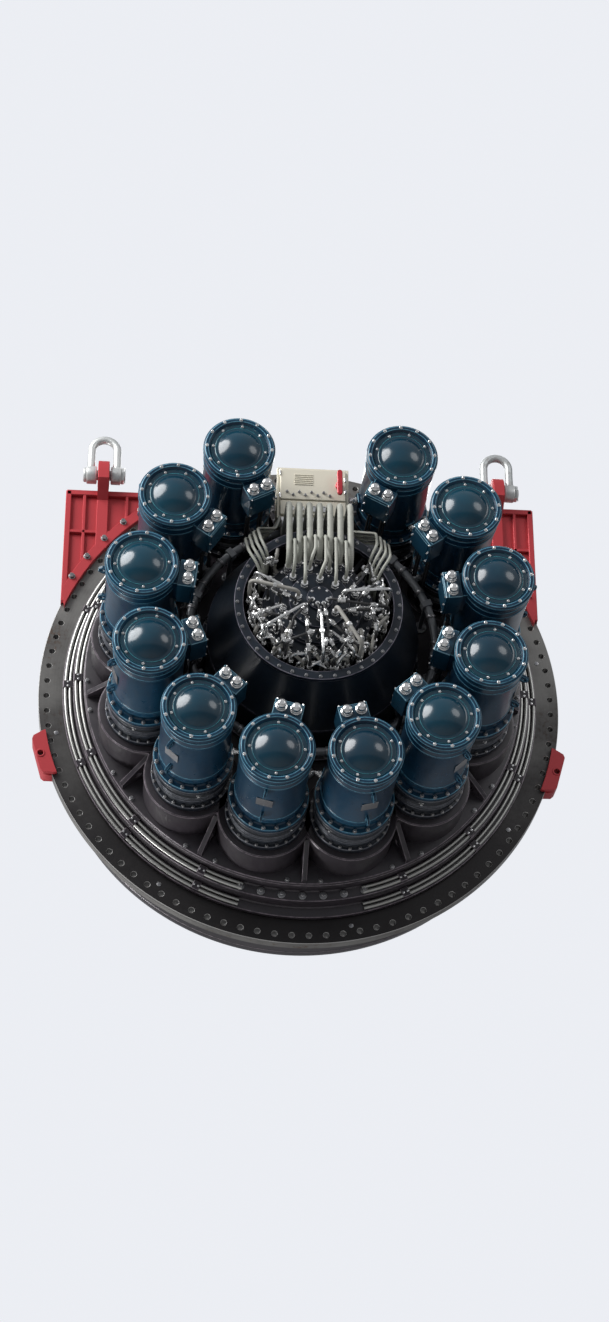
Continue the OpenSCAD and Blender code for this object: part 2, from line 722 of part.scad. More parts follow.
// A bracket that grips the flange's rim, with the padeye for a lifting shackle.
module lifting_bracket(side) {
    inner_w = bracket_x - bracket_in;
    tall = bracket_z - bracket_low;
    body_end = flange_t + cheek_t;
    color([0.62, 0.12, 0.13]) on_axis() difference() {
        union() {
            difference() {
                translate([side > 0 ? bracket_in : -bracket_x, bracket_low, -cheek_t])
                    cube([inner_w, tall, body_end + cheek_t]);
                for (from = [-cheek_t - 1, body_end - pocket_d]) difference() {
                    translate([side > 0 ? bracket_in + strip_w : strip_w - bracket_x,
                        bracket_low + strip_w, from])
                        cube([inner_w - 2 * strip_w, tall - 2 * strip_w, pocket_d + 1]);
                    disc(flange_r + strip_w, from - 1, from + pocket_d + 2);
                }
            }
            translate([side * eye_x - eye_t / 2, 0, 0]) rotate([90, 0, 90])
                linear_extrude(eye_t) polygon([
                    [bracket_low + tall / 2, -cheek_t], [bracket_low + tall / 2, body_end],
                    [eye_z - eye_r, eye_at + eye_r], [eye_z, eye_at + eye_r],
                    [eye_z, eye_at - eye_r], [bracket_z, -cheek_t]]);
            translate([side * eye_x - eye_t / 2, eye_z, eye_at]) rotate([0, 90, 0])
                cylinder(r = eye_r, h = eye_t);
        }
        disc(flange_r - grip, -cheek_t - 1, eye_at + eye_r + 1);
        disc(flange_r + run_clear, 0, flange_t);
        translate([side * eye_x - eye_t, eye_z, eye_at]) rotate([0, 90, 0])
            cylinder(r = pin_r + run_clear, h = 2 * eye_t);
    }
}
module lifting_bracket_left() lifting_bracket(LEFT);
module lifting_bracket_right() lifting_bracket(RIGHT);

// Small lugs on the flange's rim for the tag lines that steady the load.
module tag_line_lugs() {
    lug_cheek = 45;
    color([0.62, 0.12, 0.13]) on_axis() for (a = [-lug_angle, 180 + lug_angle])
        rotate([0, 0, a]) difference() {
            translate([flange_r - grip, -lug_w / 2, -lug_cheek])
                cube([grip + lug_out, lug_w, flange_t + 2 * lug_cheek]);
            disc(flange_r - grip, -lug_cheek - 1, flange_t + lug_cheek + 1);
            disc(flange_r + run_clear, 0, flange_t);
            translate([flange_r + lug_out / 2, 0, 0])
                disc(lug_hole_r, -lug_cheek - 1, flange_t + lug_cheek + 1);
        }
}

// The ring that the cutterhead bolts to, with its hub back to the bearing.
module rotor_ring() {
    color([0.40, 0.39, 0.38]) on_axis() difference() {
        rotate_extrude() polygon([
            [rotor_bore_r, bearing_front], [rotor_hub_r, bearing_front],
            [rotor_hub_r, rotor_hub_front], [rotor_r, rotor_hub_front],
            [rotor_r, -rotor_face], [rotor_bore_r, -rotor_face]]);
        at_angles(even_angles(rotor_bolts, 180 / rotor_bolts), rotor_r - rotor_edge)
            disc(rotor_hole_r, -rotor_face - 1, rotor_hole_depth - rotor_face);
    }
}

// The bearing's turning ring, with the band that the gear teeth are cut in.
module bearing_gear_ring() {
    color([0.5, 0.5, 0.5]) on_axis() rotate_extrude() polygon([
        [rotor_bore_r, bearing_front], [raceway_r - run_clear, bearing_front],
        [raceway_r - run_clear, bearing_rear], [raceway_r - gear_step, bearing_rear],
        [raceway_r - gear_step, bearing_rear + gear_l], [rotor_bore_r, bearing_rear + gear_l]]);
}

// The union's turning shaft, with the flange that bolts to the cutterhead's middle.
module union_shaft() {
    nose_front = -rotor_face - nose_out;
    color([0.55, 0.55, 0.55]) on_axis() {
        disc(shaft_r, nose_front + nose_t, union_bore_end - 20);
        disc(nose_r, nose_front, nose_front + nose_t);
    }
}

// Distances of the ears' inner and outer faces from a shackle's middle.
ear_in = eye_t / 2 + jaw_clear;
ear_out = bow_r + bar_r + 4;

// A shackle's bow, with its pin along x through its own origin and y upwards.
module shackle_bow(side) {
    color([0.55, 0.56, 0.55]) on_axis() translate([side * eye_x, eye_z, eye_at]) difference() {
        union() {
            translate([0, bow_h, 0]) rotate_extrude(angle = 180) translate([bow_r, 0]) circle(r = bar_r);
            for (x = [-bow_r, bow_r]) translate([x, 0, 0]) rotate([-90, 0, 0]) cylinder(r = bar_r, h = bow_h);
            for (x = [-ear_out, ear_in]) translate([x, 0, 0]) rotate([0, 90, 0])
                cylinder(r = ear_r, h = ear_out - ear_in);
        }
        translate([-2 * ear_out, 0, 0]) rotate([0, 90, 0]) cylinder(r = pin_r + run_clear, h = 4 * ear_out);
    }
}
module shackle_bow_left() shackle_bow(LEFT);
module shackle_bow_right() shackle_bow(RIGHT);

// A shackle's pin, with its head and nut against the ears.
module shackle_pin(side) {
    head_t = 30;
    tail = 12;
    color([0.60, 0.60, 0.58]) on_axis() translate([side * eye_x, eye_z, eye_at]) rotate([0, 90, 0]) {
        disc(pin_r, -ear_out - head_t, ear_out + head_t + tail);
        disc(pin_r * 1.45, -ear_out - head_t, -ear_out);
        translate([0, 0, ear_out]) cylinder(r = pin_r * 1.6, h = head_t, $fn = 6);
    }
}
module shackle_pin_left() shackle_pin(LEFT);
module shackle_pin_right() shackle_pin(RIGHT);

mounting_flange();
front_casing();
outer_seal_ring();
gear_case();
case_lobes();
bearing_outer_ring();
drum_neck();
centre_drum();
drum_mouth();
drum_plate();
centre_bulkhead();
inner_seal_ring();
gearboxes();
motor(1);  // motor_01
motor(2);  // motor_02
motor(3);  // motor_03
motor(4);  // motor_04
motor(5);  // motor_05
motor(6);  // motor_06
motor(7);  // motor_07
motor(8);  // motor_08
motor(9);  // motor_09
motor(10);  // motor_10
motor(11);  // motor_11
motor(12);  // motor_12
terminal_boxes();
motor_connectors();
blank_cover();
cabinet_stand();
grease_cabinet();
cabinet_valve();
grease_hoses();
union_foot();
union_barrel();
rotary_union();
union_fittings();
cooling_ring();
cooling_posts();
cooling_branches();
grease_pipes();
lifting_bracket_left();
lifting_bracket_right();
tag_line_lugs();
rotor_ring();
bearing_gear_ring();
union_shaft();
shackle_bow_left();
shackle_pin_left();
shackle_bow_right();
shackle_pin_right();
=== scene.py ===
"""Looks of a tunnel boring machine's main drive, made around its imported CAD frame.

Every piece is in metres in the machine's own frame: +Y is forward, +Z is up, and a
station is a distance behind the contact face of the mounting flange, so y = -station.
"""
import logging
import random
from dataclasses import dataclass
from enum import Enum
from math import acos, asin, atan2, ceil, copysign, cos, hypot, pi, radians, sin, sqrt
from typing import Any, Iterable, Optional, Sequence, Union

import bmesh
import bpy
from mathutils import Matrix, Vector


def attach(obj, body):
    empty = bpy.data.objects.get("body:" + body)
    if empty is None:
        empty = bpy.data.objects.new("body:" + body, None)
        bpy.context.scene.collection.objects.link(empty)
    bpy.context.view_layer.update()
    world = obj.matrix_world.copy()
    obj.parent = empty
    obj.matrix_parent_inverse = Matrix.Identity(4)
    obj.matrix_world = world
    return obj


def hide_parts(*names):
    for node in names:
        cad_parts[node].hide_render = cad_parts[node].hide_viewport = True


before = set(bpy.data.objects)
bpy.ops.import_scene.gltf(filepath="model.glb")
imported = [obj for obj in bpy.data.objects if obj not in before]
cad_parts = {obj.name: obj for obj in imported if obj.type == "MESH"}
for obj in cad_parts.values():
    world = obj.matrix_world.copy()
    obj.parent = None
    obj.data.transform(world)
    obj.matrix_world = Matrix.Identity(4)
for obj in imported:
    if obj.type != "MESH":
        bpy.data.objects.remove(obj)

log = logging.getLogger("main_drive")

Pair = tuple[float, float]
Point = tuple[float, float, float]
Outline = Sequence[Pair]
Colour = Point
Sizes = Sequence[float]
HOUSING = "housing"
ROTOR = "rotor"
TURN = 2 * pi
HERE = Matrix.Identity(4)
ROUNDING = (0.0, 0.5, 1.0)
SMOOTH_BEND = radians(22)
SHARP_EDGE = radians(34)
TINY = 1e-6
WELD = 2e-5


def about(angle: float, axis: str = "Y") -> Matrix:
    """Gives a turn about an axis through the origin."""
    return Matrix.Rotation(angle, 4, axis)


def shift(x: float = 0.0, y: float = 0.0, z: float = 0.0) -> Matrix:
    """Gives a move."""
    return Matrix.Translation((x, y, z))


def spot(radius: float, angle: float, station: float) -> Point:
    """Gives a point by its distance from the axis, its angle and its station."""
    return radius * cos(angle), -station, radius * sin(angle)


def hoop(radius: float, station: float, count: int) -> list[Point]:
    """Gives points at even steps round the axis."""
    return [spot(radius, TURN * k / count, station) for k in range(count)]


def along(start: Point, end: Point, share: float) -> Matrix:
    """Gives a place at a share of the way along a straight pipe, turned to its direction."""
    way = Vector(end) - Vector(start)
    return shift(*Vector(start) + way * share) @ way.to_track_quat("-Y", "Z").to_matrix().to_4x4()


def stand(name: str, data: Optional[bpy.types.ID]) -> bpy.types.Object:
    """Puts a new object into the scene.

    Args:
        name: its name.
        data: its mesh, lamp or camera.

    Returns:
        The object.
    """
    made = bpy.data.objects.new(name, data)
    bpy.context.scene.collection.objects.link(made)
    return made


class Slot(Enum):
    """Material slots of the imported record."""

    HOUSING = "housing_black"
    STEEL = "machined_steel"
    MOTOR = "motor_blue"
    BOX = "terminal_box_blue"
    CABINET = "cabinet_cream"
    VALVE = "valve_red"
    BRACKET = "bracket_red"
    HOSE = "hose_light"
    FITTING = "fitting_steel"
    PIPE = "pipe_dark"
    GREASE_PIPE = "pipe_steel"
    ZINC = "galvanised"


class Facing(Enum):
    """Turns a shape built along the station axis so that it points another way."""

    FRONT = (0, pi)
    RIGHT = (0, pi / 2)
    UP = (-pi / 2, 0)
    SIDE = (pi / 2, 0)

    def at(self, x: float = 0.0, y: float = 0.0, z: float = 0.0) -> Matrix:
        """Gives the matrix that turns a shape this way and sets it at a point."""
        tilt, turn = self.value
        return shift(x, y, z) @ about(turn, "Z") @ about(tilt, "X")


FORWARD = Facing.FRONT.at()


# ---- Node graphs ----


class Wire:
    """An output socket that takes part in Python expressions."""

    def __init__(self, graph: "Graph", socket: Any) -> None:
        """Keeps the socket and the graph that its maths is added to."""
        self.graph = graph
        self.socket = socket

    def maths(self, operation: str, *values: "Value") -> "Wire":
        """Adds a Math node with its inputs in order."""
        return self.graph.wire("ShaderNodeMath", dict(enumerate(values)), operation=operation)

    def __add__(self, other: "Value") -> "Wire":
        """Adds a value."""
        return self.maths("ADD", self, other)

    __radd__ = __add__

    def __sub__(self, other: "Value") -> "Wire":
        """Takes a value away."""
        return self.maths("SUBTRACT", self, other)

    def __rsub__(self, other: "Value") -> "Wire":
        """Takes this wire away from a value."""
        return self.maths("SUBTRACT", other, self)

    def __mul__(self, other: "Value") -> "Wire":
        """Multiplies by a value."""
        return self.maths("MULTIPLY", self, other)

    __rmul__ = __mul__

    def __pow__(self, other: "Value") -> "Wire":
        """Raises to a power."""
        return self.maths("POWER", self, other)

    def larger(self, other: "Value") -> "Wire":
        """Gives the larger of this and a value."""
        return self.maths("MAXIMUM", self, other)

    def sine(self) -> "Wire":
        """Gives the sine."""
        return self.maths("SINE", self)

    def rise(self, low: float, high: float) -> "Wire":
        """Goes smoothly from 0 at the low value to 1 at the high one."""
        ends = {"Value": self, "From Min": low, "From Max": high}
        return self.graph.wire("ShaderNodeMapRange", ends, interpolation_type="SMOOTHSTEP")


Value = Union[Wire, float, int]


class Graph:
    """A node tree that nodes are added to."""

    def __init__(self, tree: bpy.types.NodeTree) -> None:
        """Keeps the tree."""
        self.tree = tree

    def node(self, kind: str, sockets: Optional[dict[Any, Any]] = None,
             **settings: Any) -> bpy.types.Node:
        """Adds one node.

        Args:
            kind: the node's type.
            sockets: values or wires of its inputs, by name or number.
            settings: its properties, which are set first.

        Returns:
            The node.
        """
        made = self.tree.nodes.new(kind)
        for name, value in settings.items():
            setattr(made, name, value)
        for key, value in (sockets or {}).items():
            if isinstance(value, Wire):
                self.tree.links.new(value.socket, made.inputs[key])
            else:
                made.inputs[key].default_value = value
        return made

    def wire(self, kind: str, sockets: Optional[dict[Any, Any]] = None, output: Any = 0,
             **settings: Any) -> Wire:
        """Adds one node and gives one of its outputs, by name or number."""
        return Wire(self, self.node(kind, sockets, **settings).outputs[output])


class Shader(Graph):
    """The node tree of one material, with the patterns that the finishes share."""

    def __init__(self, name: str) -> None:
        """Makes the material and empties its tree.

        Args:
            name: the material's name.
        """
        self.material = bpy.data.materials.new(name)
        self.material.use_nodes = True
        self.material.node_tree.nodes.clear()
        super().__init__(self.material.node_tree)
        self.place = self.wire("ShaderNodeTexCoord", output="Object")
        self.facing = Wire(self, self.place.socket.node.outputs["Normal"])

    def noise(self, scale: float, detail: float = 3.0, rough: float = 0.55,
              place: Optional[Wire] = None) -> Wire:
        """Adds a noise pattern from 0 to 1, with its scale in features per metre."""
        return self.wire("ShaderNodeTexNoise", {
            "Vector": place or self.place, "Scale": scale, "Detail": detail, "Roughness": rough})

    def stretched(self, stretch: Colour) -> Wire:
        """Gives the object's coordinates scaled along each axis."""
        return self.wire("ShaderNodeVectorMath", {0: self.place, 1: stretch}, operation="MULTIPLY")

    def mark(self, name: str) -> Wire:
        """Gives a number that the mesh carries."""
        return self.wire("ShaderNodeAttribute", None, "Fac", attribute_name=name)

    def axis(self, vector: Wire, name: str) -> Wire:
        """Gives one component, X, Y or Z, of a vector."""
        return self.wire("ShaderNodeSeparateXYZ", {0: vector}, name)

    def blend(self, amount: Value, low: Any, high: Any) -> Wire:
        """Mixes two colours, where an amount of 0 gives the first and 1 the second."""
        first, second = [c if isinstance(c, Wire) else (*c, 1.0) for c in (low, high)]
        return self.wire("ShaderNodeMix", {0: amount, 6: first, 7: second}, 2, data_type="RGBA")

    def bump(self, height: Wire, strength: float, depth: float) -> Wire:
        """Turns a height pattern into a normal, for a relief that is depth metres high."""
        return self.wire(
            "ShaderNodeBump", {"Height": height, "Strength": strength, "Distance": depth})

    def surface(self, **sockets: Any) -> bpy.types.Material:
        """Adds the surface shader and the output.

        Args:
            sockets: values or wires of the shader, with _ for each space in a name.

        Returns:
            The finished material.
        """
        shader = self.wire("ShaderNodeBsdfPrincipled", {
            name.replace("_", " "): value for name, value in sockets.items()})
        self.node("ShaderNodeOutputMaterial", {"Surface": shader})
        return self.material


# ---- Finishes ----


@dataclass(frozen=True)
class Finish:
    """A finish of the machine, built once when a piece first asks for it."""

    name: str
    slot: Slot

    def build(self) -> bpy.types.Material:
        """Makes the material."""
        raise NotImplementedError

    def material(self) -> bpy.types.Material:
        """Gives the finish's material, made at its first use."""
        return bpy.data.materials.get(self.name) or self.build()


@dataclass(frozen=True)
class Paint(Finish):
    """Paint on cast or welded steel, lighter at its edges from wear and a painted edge highlight,
    and dirty in patches and runs.
    """

    base: Colour
    shade: Colour
    edge_wear_and_highlight: Colour
    rough: float = 0.3
    coat: float = 0.25
    grime: float = 0.4
    wear: float = 0.7
    chips: float = 0.1
    metal: float = 0.1
    dust: Colour = (0.22, 0.2, 0.18)
    dusty: float = 0.25
    texture: float = 0.12
    shine: float = 0.4

    def build(self) -> bpy.types.Material:
        """Makes the paint.

        Returns:
            The material.
        """
        g = Shader(self.name)
        clouds = g.noise(1.1, 4.0)
        spots = g.noise(16.0, 6.0, 0.62)
        grain = g.noise(140.0, 3.0)
        runs = g.noise(1.0, 5.0, 0.6, g.stretched((9.0, 9.0, 0.8)))
        edge = g.mark("wear")
        colour = g.blend(clouds.rise(0.34, 0.68), self.base, self.shade)
        colour = g.blend((spots * 0.5 + runs * 0.6).rise(0.52, 0.78) * self.grime, colour,
                         tuple(c * 0.32 + 0.006 for c in self.base))
        up = g.axis(g.facing, "Z").rise(0.25, 0.95)
        dust = ((up * 0.8 + 0.2) * spots.rise(0.35, 0.65)) * self.dusty
        colour = g.blend(dust, colour, self.dust)
        # Marked edges and some spots take the lighter edge colour: real wear, and on the blue
        # paints a painted highlight of lit rims and edges.
        rubbed_and_lit_edges = (edge * 0.45 + spots * 0.5 + grain * 0.25).rise(0.86 - 0.3 * self.wear, 0.98)
        chipped = (spots * 0.7 + grain * 0.4).rise(0.8 - 0.12 * self.chips, 0.86) * self.chips
        bare = rubbed_and_lit_edges.larger(chipped)
        colour = g.blend(bare, colour, self.edge_wear_and_highlight)
        rough = spots * 0.16 + dust * 0.35 + (self.rough - 0.08) + bare * 0.08
        relief = g.noise(300.0, 2.0) * 0.35 + spots * 0.5 - bare * 0.6
        return g.surface(
            Base_Color=colour, Roughness=rough, Metallic=bare * self.metal,
            Coat_Weight=(1 - bare) * (1 - dust) * self.coat, Coat_Roughness=0.14,
            Specular_IOR_Level=self.shine, Normal=g.bump(relief, self.texture, 0.0015))


@dataclass(frozen=True)
class Steel(Finish):
    """Bare, plated or galvanised steel."""

    base: Colour
    shade: Colour
    rough: float = 0.34
    rust: float = 0.2
    oil: float = 0.25
    metal: float = 0.85
    turned: bool = False
    darker_below: float = 0.0

    def build(self) -> bpy.types.Material:
        """Makes the steel.

        Returns:
            The material.
        """
        g = Shader(self.name)
        x, y, z = (g.axis(g.place, name) for name in "XYZ")
        clouds = g.noise(2.3, 5.0)
        spots = g.noise(24.0, 6.0, 0.62)
        grain = g.noise(220.0, 3.0)
        edge = g.mark("wear")
        if self.turned:
            radius = (x * x + z * z) ** 0.5
            rings = g.wire("ShaderNodeCombineXYZ", {0: radius * 170.0, 1: y * 170.0, 2: 0.0})
            lines = g.noise(1.0, 4.0, 0.7, rings)
        else:
            lines = g.noise(60.0, 3.0)
        colour = g.blend(clouds.rise(0.36, 0.66), self.base, self.shade)
        colour = g.blend(
            lines.rise(0.35, 0.75) * 0.35, colour, tuple(min(1.0, c * 1.25) for c in self.base))
        stain = (clouds * 0.5 + spots * 0.55).rise(0.56, 0.7) * self.oil
        colour = g.blend(stain, colour, (0.045, 0.036, 0.028))
        rusty = (spots * 0.65 + clouds * 0.45).rise(0.6, 0.72) * self.rust
        colour = g.blend(rusty, colour, (0.2, 0.085, 0.035))
        # Faces that look along the axis are darkened towards the bottom, in patches.
        across = g.axis(g.facing, "Y")
        low = (z * -1.0 + clouds * 1.2 + spots * 0.5).rise(-0.2, 2.3) * self.darker_below
        low = low * (across * across).rise(0.1, 0.7)
        colour = g.blend(low, colour, (0.016, 0.014, 0.015))
        # Marked edges are lightened towards near white: edge wear, partly a painted highlight of
        # lit rims such as the flange's.
        colour = g.blend(edge * 0.45, colour, (0.86, 0.85, 0.83))
        rough = lines * 0.18 + spots * 0.14 + rusty * 0.35 + (self.rough - 0.14)
        return g.surface(
            Base_Color=colour, Roughness=rough, Metallic=(1 - rusty) * self.metal,
            Normal=g.bump(lines * 0.6 + grain * 0.4, 0.18, 0.0008))


@dataclass(frozen=True)
class Rubber(Finish):
    """Hose cover or black moulded rubber, ringed along its run."""

    base: Colour
    shade: Colour
    pitch: float = 0.012
    relief: float = 0.0012

    def build(self) -> bpy.types.Material:
        """Makes the rubber.

        Returns:
            The material.
        """
        g = Shader(self.name)
        run = g.mark("run")
        rings = (run * (TURN / self.pitch)).sine() * 0.5 + 0.5
        spots = g.noise(30.0, 5.0, 0.6)
        clouds = g.noise(4.0, 3.0)
        colour = g.blend(clouds.rise(0.35, 0.7), self.base, self.shade)
        colour = g.blend((1 - rings) * 0.35, colour, tuple(c * 0.45 for c in self.base))
        colour = g.blend(spots.rise(0.58, 0.74) * 0.5, colour, (0.1, 0.085, 0.07))
        return g.surface(
            Base_Color=colour, Roughness=spots * 0.2 + 0.42, Metallic=0.0,
            Normal=g.bump(rings + spots * 0.3, 0.5, self.relief))


@dataclass(frozen=True)
class Studio:
    """The pale matt floor under the machine, clear from below."""

    name: str
    colour: Colour
    room: Colour
    near: float = 8.0
    far: float = 45.0

    def build(self) -> bpy.types.Material:
        """Makes the floor's material, with a fine unevenness and a pale look to the camera.

        Returns:
            The material.
        """
        g = Shader(self.name)
        mottle = g.noise(0.35, 3.0)
        x, y = g.axis(g.place, "X"), g.axis(g.place, "Y")
        far = ((x * x + y * y) ** 0.5).rise(self.near, self.far)
        seen = g.wire("ShaderNodeLightPath", output="Is Camera Ray")
        colour = g.blend(mottle * 0.25, self.colour, tuple(c * 0.94 for c in self.colour))
        matt = g.wire("ShaderNodeBsdfDiffuse", {"Color": colour})
        glow = g.wire("ShaderNodeEmission", {"Color": (*self.room, 1.0), "Strength": 0.9})
        pale = g.wire("ShaderNodeMixShader", {0: seen * (far * 0.35 + 0.65), 1: matt, 2: glow})
        clear = g.wire("ShaderNodeBsdfTransparent")
        under = g.wire("ShaderNodeNewGeometry", output="Backfacing")
        top = g.wire("ShaderNodeMixShader", {0: under, 1: pale, 2: clear})
        g.node("ShaderNodeOutputMaterial", {"Surface": top})
        return g.material


CASE_BLACK = Paint(
    "case_black", Slot.HOUSING, (0.026, 0.021, 0.027),
    (0.017, 0.014, 0.018), (0.26, 0.22, 0.25), rough=0.36, metal=0.3, dusty=0.12, texture=0.2)
DRUM_DARK = Paint(
    "drum_dark", Slot.HOUSING, (0.011, 0.018, 0.029), (0.007, 0.011, 0.019),
    (0.3, 0.28, 0.34), rough=0.34, coat=0.2, wear=0.75, metal=0.3, dusty=0.08, shine=0.3)
GEAR_GREY = Paint(
    "gearbox_grey", Slot.HOUSING, (0.012, 0.017, 0.026), (0.008, 0.011, 0.017),
    (0.2, 0.21, 0.24), rough=0.34, coat=0.3, grime=0.45, metal=0.5, dusty=0.12, texture=0.2)
# Light blue edge colour: edge wear, partly a painted highlight of the lit rims and edges.
MOTOR_PETROL = Paint(
    "motor_petrol", Slot.MOTOR, (0.005, 0.038, 0.076), (0.003, 0.02, 0.046), (0.13, 0.34, 0.46),
    coat=0.2, grime=0.3, wear=0.9, chips=0.03, dusty=0.04, texture=0.08, shine=0.25)
# Cyan edge colour: edge wear, partly a painted teal highlight of the lit dome rims.
DOME_TEAL = Paint(
    "dome_teal", Slot.MOTOR, (0.003, 0.044, 0.072), (0.002, 0.022, 0.042), (0.06, 0.34, 0.4),
    rough=0.24, coat=0.6, grime=0.25, chips=0.0, metal=0.0, dusty=0.02, texture=0.05, shine=0.25)
# Light blue edge colour: edge wear, partly a painted edge highlight.
BOX_PETROL = Paint(
    "box_petrol", Slot.BOX, (0.009, 0.054, 0.092), (0.006, 0.036, 0.068),
    (0.22, 0.42, 0.52), grime=0.3, wear=1.0, chips=0.05, dusty=0.06, texture=0.08, shine=0.3)
CABINET_CREAM = Paint(
    "cabinet_cream", Slot.CABINET, (0.58, 0.57, 0.51), (0.5, 0.49, 0.43), (0.3, 0.27, 0.22),
    rough=0.36, coat=0.3, grime=0.35, wear=0.35, chips=0.15, metal=0.2, dusty=0.3)
VALVE_RED = Paint(
    "valve_red", Slot.VALVE, (0.58, 0.045, 0.055),
    (0.46, 0.03, 0.04), (0.7, 0.36, 0.34), coat=0.5, grime=0.25, wear=0.6, chips=0.2, metal=0.2)
BRACKET_RED = Paint(
    "bracket_red", Slot.BRACKET, (0.3, 0.03, 0.04), (0.18, 0.02, 0.028), (0.66, 0.34, 0.33),
    rough=0.46, coat=0.1, grime=0.75, wear=1.0, chips=0.7, dusty=0.4, texture=0.25)
# The flange's faces are darkened towards the bottom.
FLANGE_STEEL = Steel(
    "flange_steel", Slot.STEEL, (0.2, 0.195, 0.185),
    (0.13, 0.125, 0.12), rough=0.38, oil=0.7, metal=0.6, turned=True, darker_below=0.95)
RING_STEEL = Steel(
    "ring_steel", Slot.STEEL, (0.44, 0.43, 0.41), (0.34, 0.33, 0.32),
    rust=0.3, oil=0.5, turned=True)
BRIGHT_STEEL = Steel(
    "bright_steel", Slot.FITTING, (0.8, 0.8, 0.79), (0.64, 0.64, 0.64),
    rough=0.22, rust=0.05, metal=0.9)
BOLT_STEEL = Steel("bolt_steel", Slot.FITTING, (0.26, 0.26, 0.27), (0.16, 0.16, 0.17), oil=0.4)
PIPE_DARK = Paint(
    "pipe_dark", Slot.PIPE, (0.085, 0.092, 0.105),
    (0.055, 0.062, 0.074), (0.42, 0.42, 0.42), coat=0.4, wear=0.6, chips=0.2, metal=0.5)
# The grease pipes' faces are darkened towards the bottom.
PIPE_STEEL = Steel(
    "pipe_steel", Slot.GREASE_PIPE, (0.16, 0.165, 0.15),
    (0.09, 0.095, 0.085), rough=0.32, rust=0.25, oil=0.6, metal=0.8, darker_below=0.5)
ZINC = Steel(
    "shackle_zinc", Slot.ZINC, (0.6, 0.61, 0.6), (0.44, 0.46, 0.46),
    rough=0.42, rust=0.12, metal=0.6)
HOSE_CREAM = Rubber("hose_cream", Slot.HOSE, (0.42, 0.425, 0.375), (0.3, 0.31, 0.27))
HOSE_GREY = Rubber("hose_grey", Slot.HOSE, (0.36, 0.35, 0.32), (0.26, 0.25, 0.23), pitch=0.008)
HOSE_BLACK = Rubber(
    "hose_black", Slot.PIPE, (0.028, 0.028, 0.03), (0.018, 0.018, 0.02), pitch=0.02)


# ---- Mesh making ----


def polar(radius: float, angle: float, centre: Pair = (0.0, 0.0)) -> Pair:
    """Gives x and z at a distance and an angle from the axis or another centre."""
    return centre[0] + radius * cos(angle), centre[1] + radius * sin(angle)


def arc(radius: float, first: float, last: float, steps: int,
        centre: Pair = (0.0, 0.0)) -> list[Pair]:
    """Gives the points along an arc in even steps, both ends included."""
    return [polar(radius, first + (last - first) * i / steps, centre) for i in range(steps + 1)]


def box_outline(x0: float, x1: float, z0: float, z1: float) -> list[Pair]:
    """Gives the outline of a rectangle."""
    return [(x0, z0), (x1, z0), (x1, z1), (x0, z1)]


def area(outline: Outline) -> float:
    """Gives an outline's area, positive when it runs anticlockwise."""
    return sum(a[0] * b[1] - b[0] * a[1] for a, b in zip(outline, [*outline[1:], outline[0]])) / 2


def soften(outline: Outline, size: float, shut: bool = True) -> list[Point]:
    """Rounds the corners of an outline.

    Args:
        outline: the points.
        size: length that each corner takes off its two sides.
        shut: whether the last point joins the first.

    Returns:
        Points with the wear of the stretch that follows each.
    """
    turn = 1.0 if area(outline) > 0 else -1.0
    count = len(outline)
    made = []
    for i, point in enumerate(outline):
        here = Vector(point)
        back = Vector(outline[i - 1]) - here
        on = Vector(outline[(i + 1) % count]) - here
        loose = not shut and i in (0, count - 1)
        if loose or size <= 0 or (-back).angle(on, 0) < SMOOTH_BEND:
            made.append((*point, 0))
            continue
        cut = min(size, 0.45 * back.length, 0.45 * on.length)
        start, end = here + back.normalized() * cut, here + on.normalized() * cut
        outward = (-back.x * on.y + back.y * on.x) * turn > 0
        for t in ROUNDING:
            on_arc = start * (1 - t) ** 2 + here * (2 * t * (1 - t)) + end * t ** 2
            made.append((*on_arc, float(outward and t < 1)))
    return made


def outwards(mesh: bpy.types.Mesh) -> None:
    """Turns a mesh's faces outwards.

    Args:
        mesh: the mesh.
    """
    work = bmesh.new()
    work.from_mesh(mesh)
    bmesh.ops.recalc_face_normals(work, faces=work.faces)
    work.to_mesh(mesh)
    work.free()


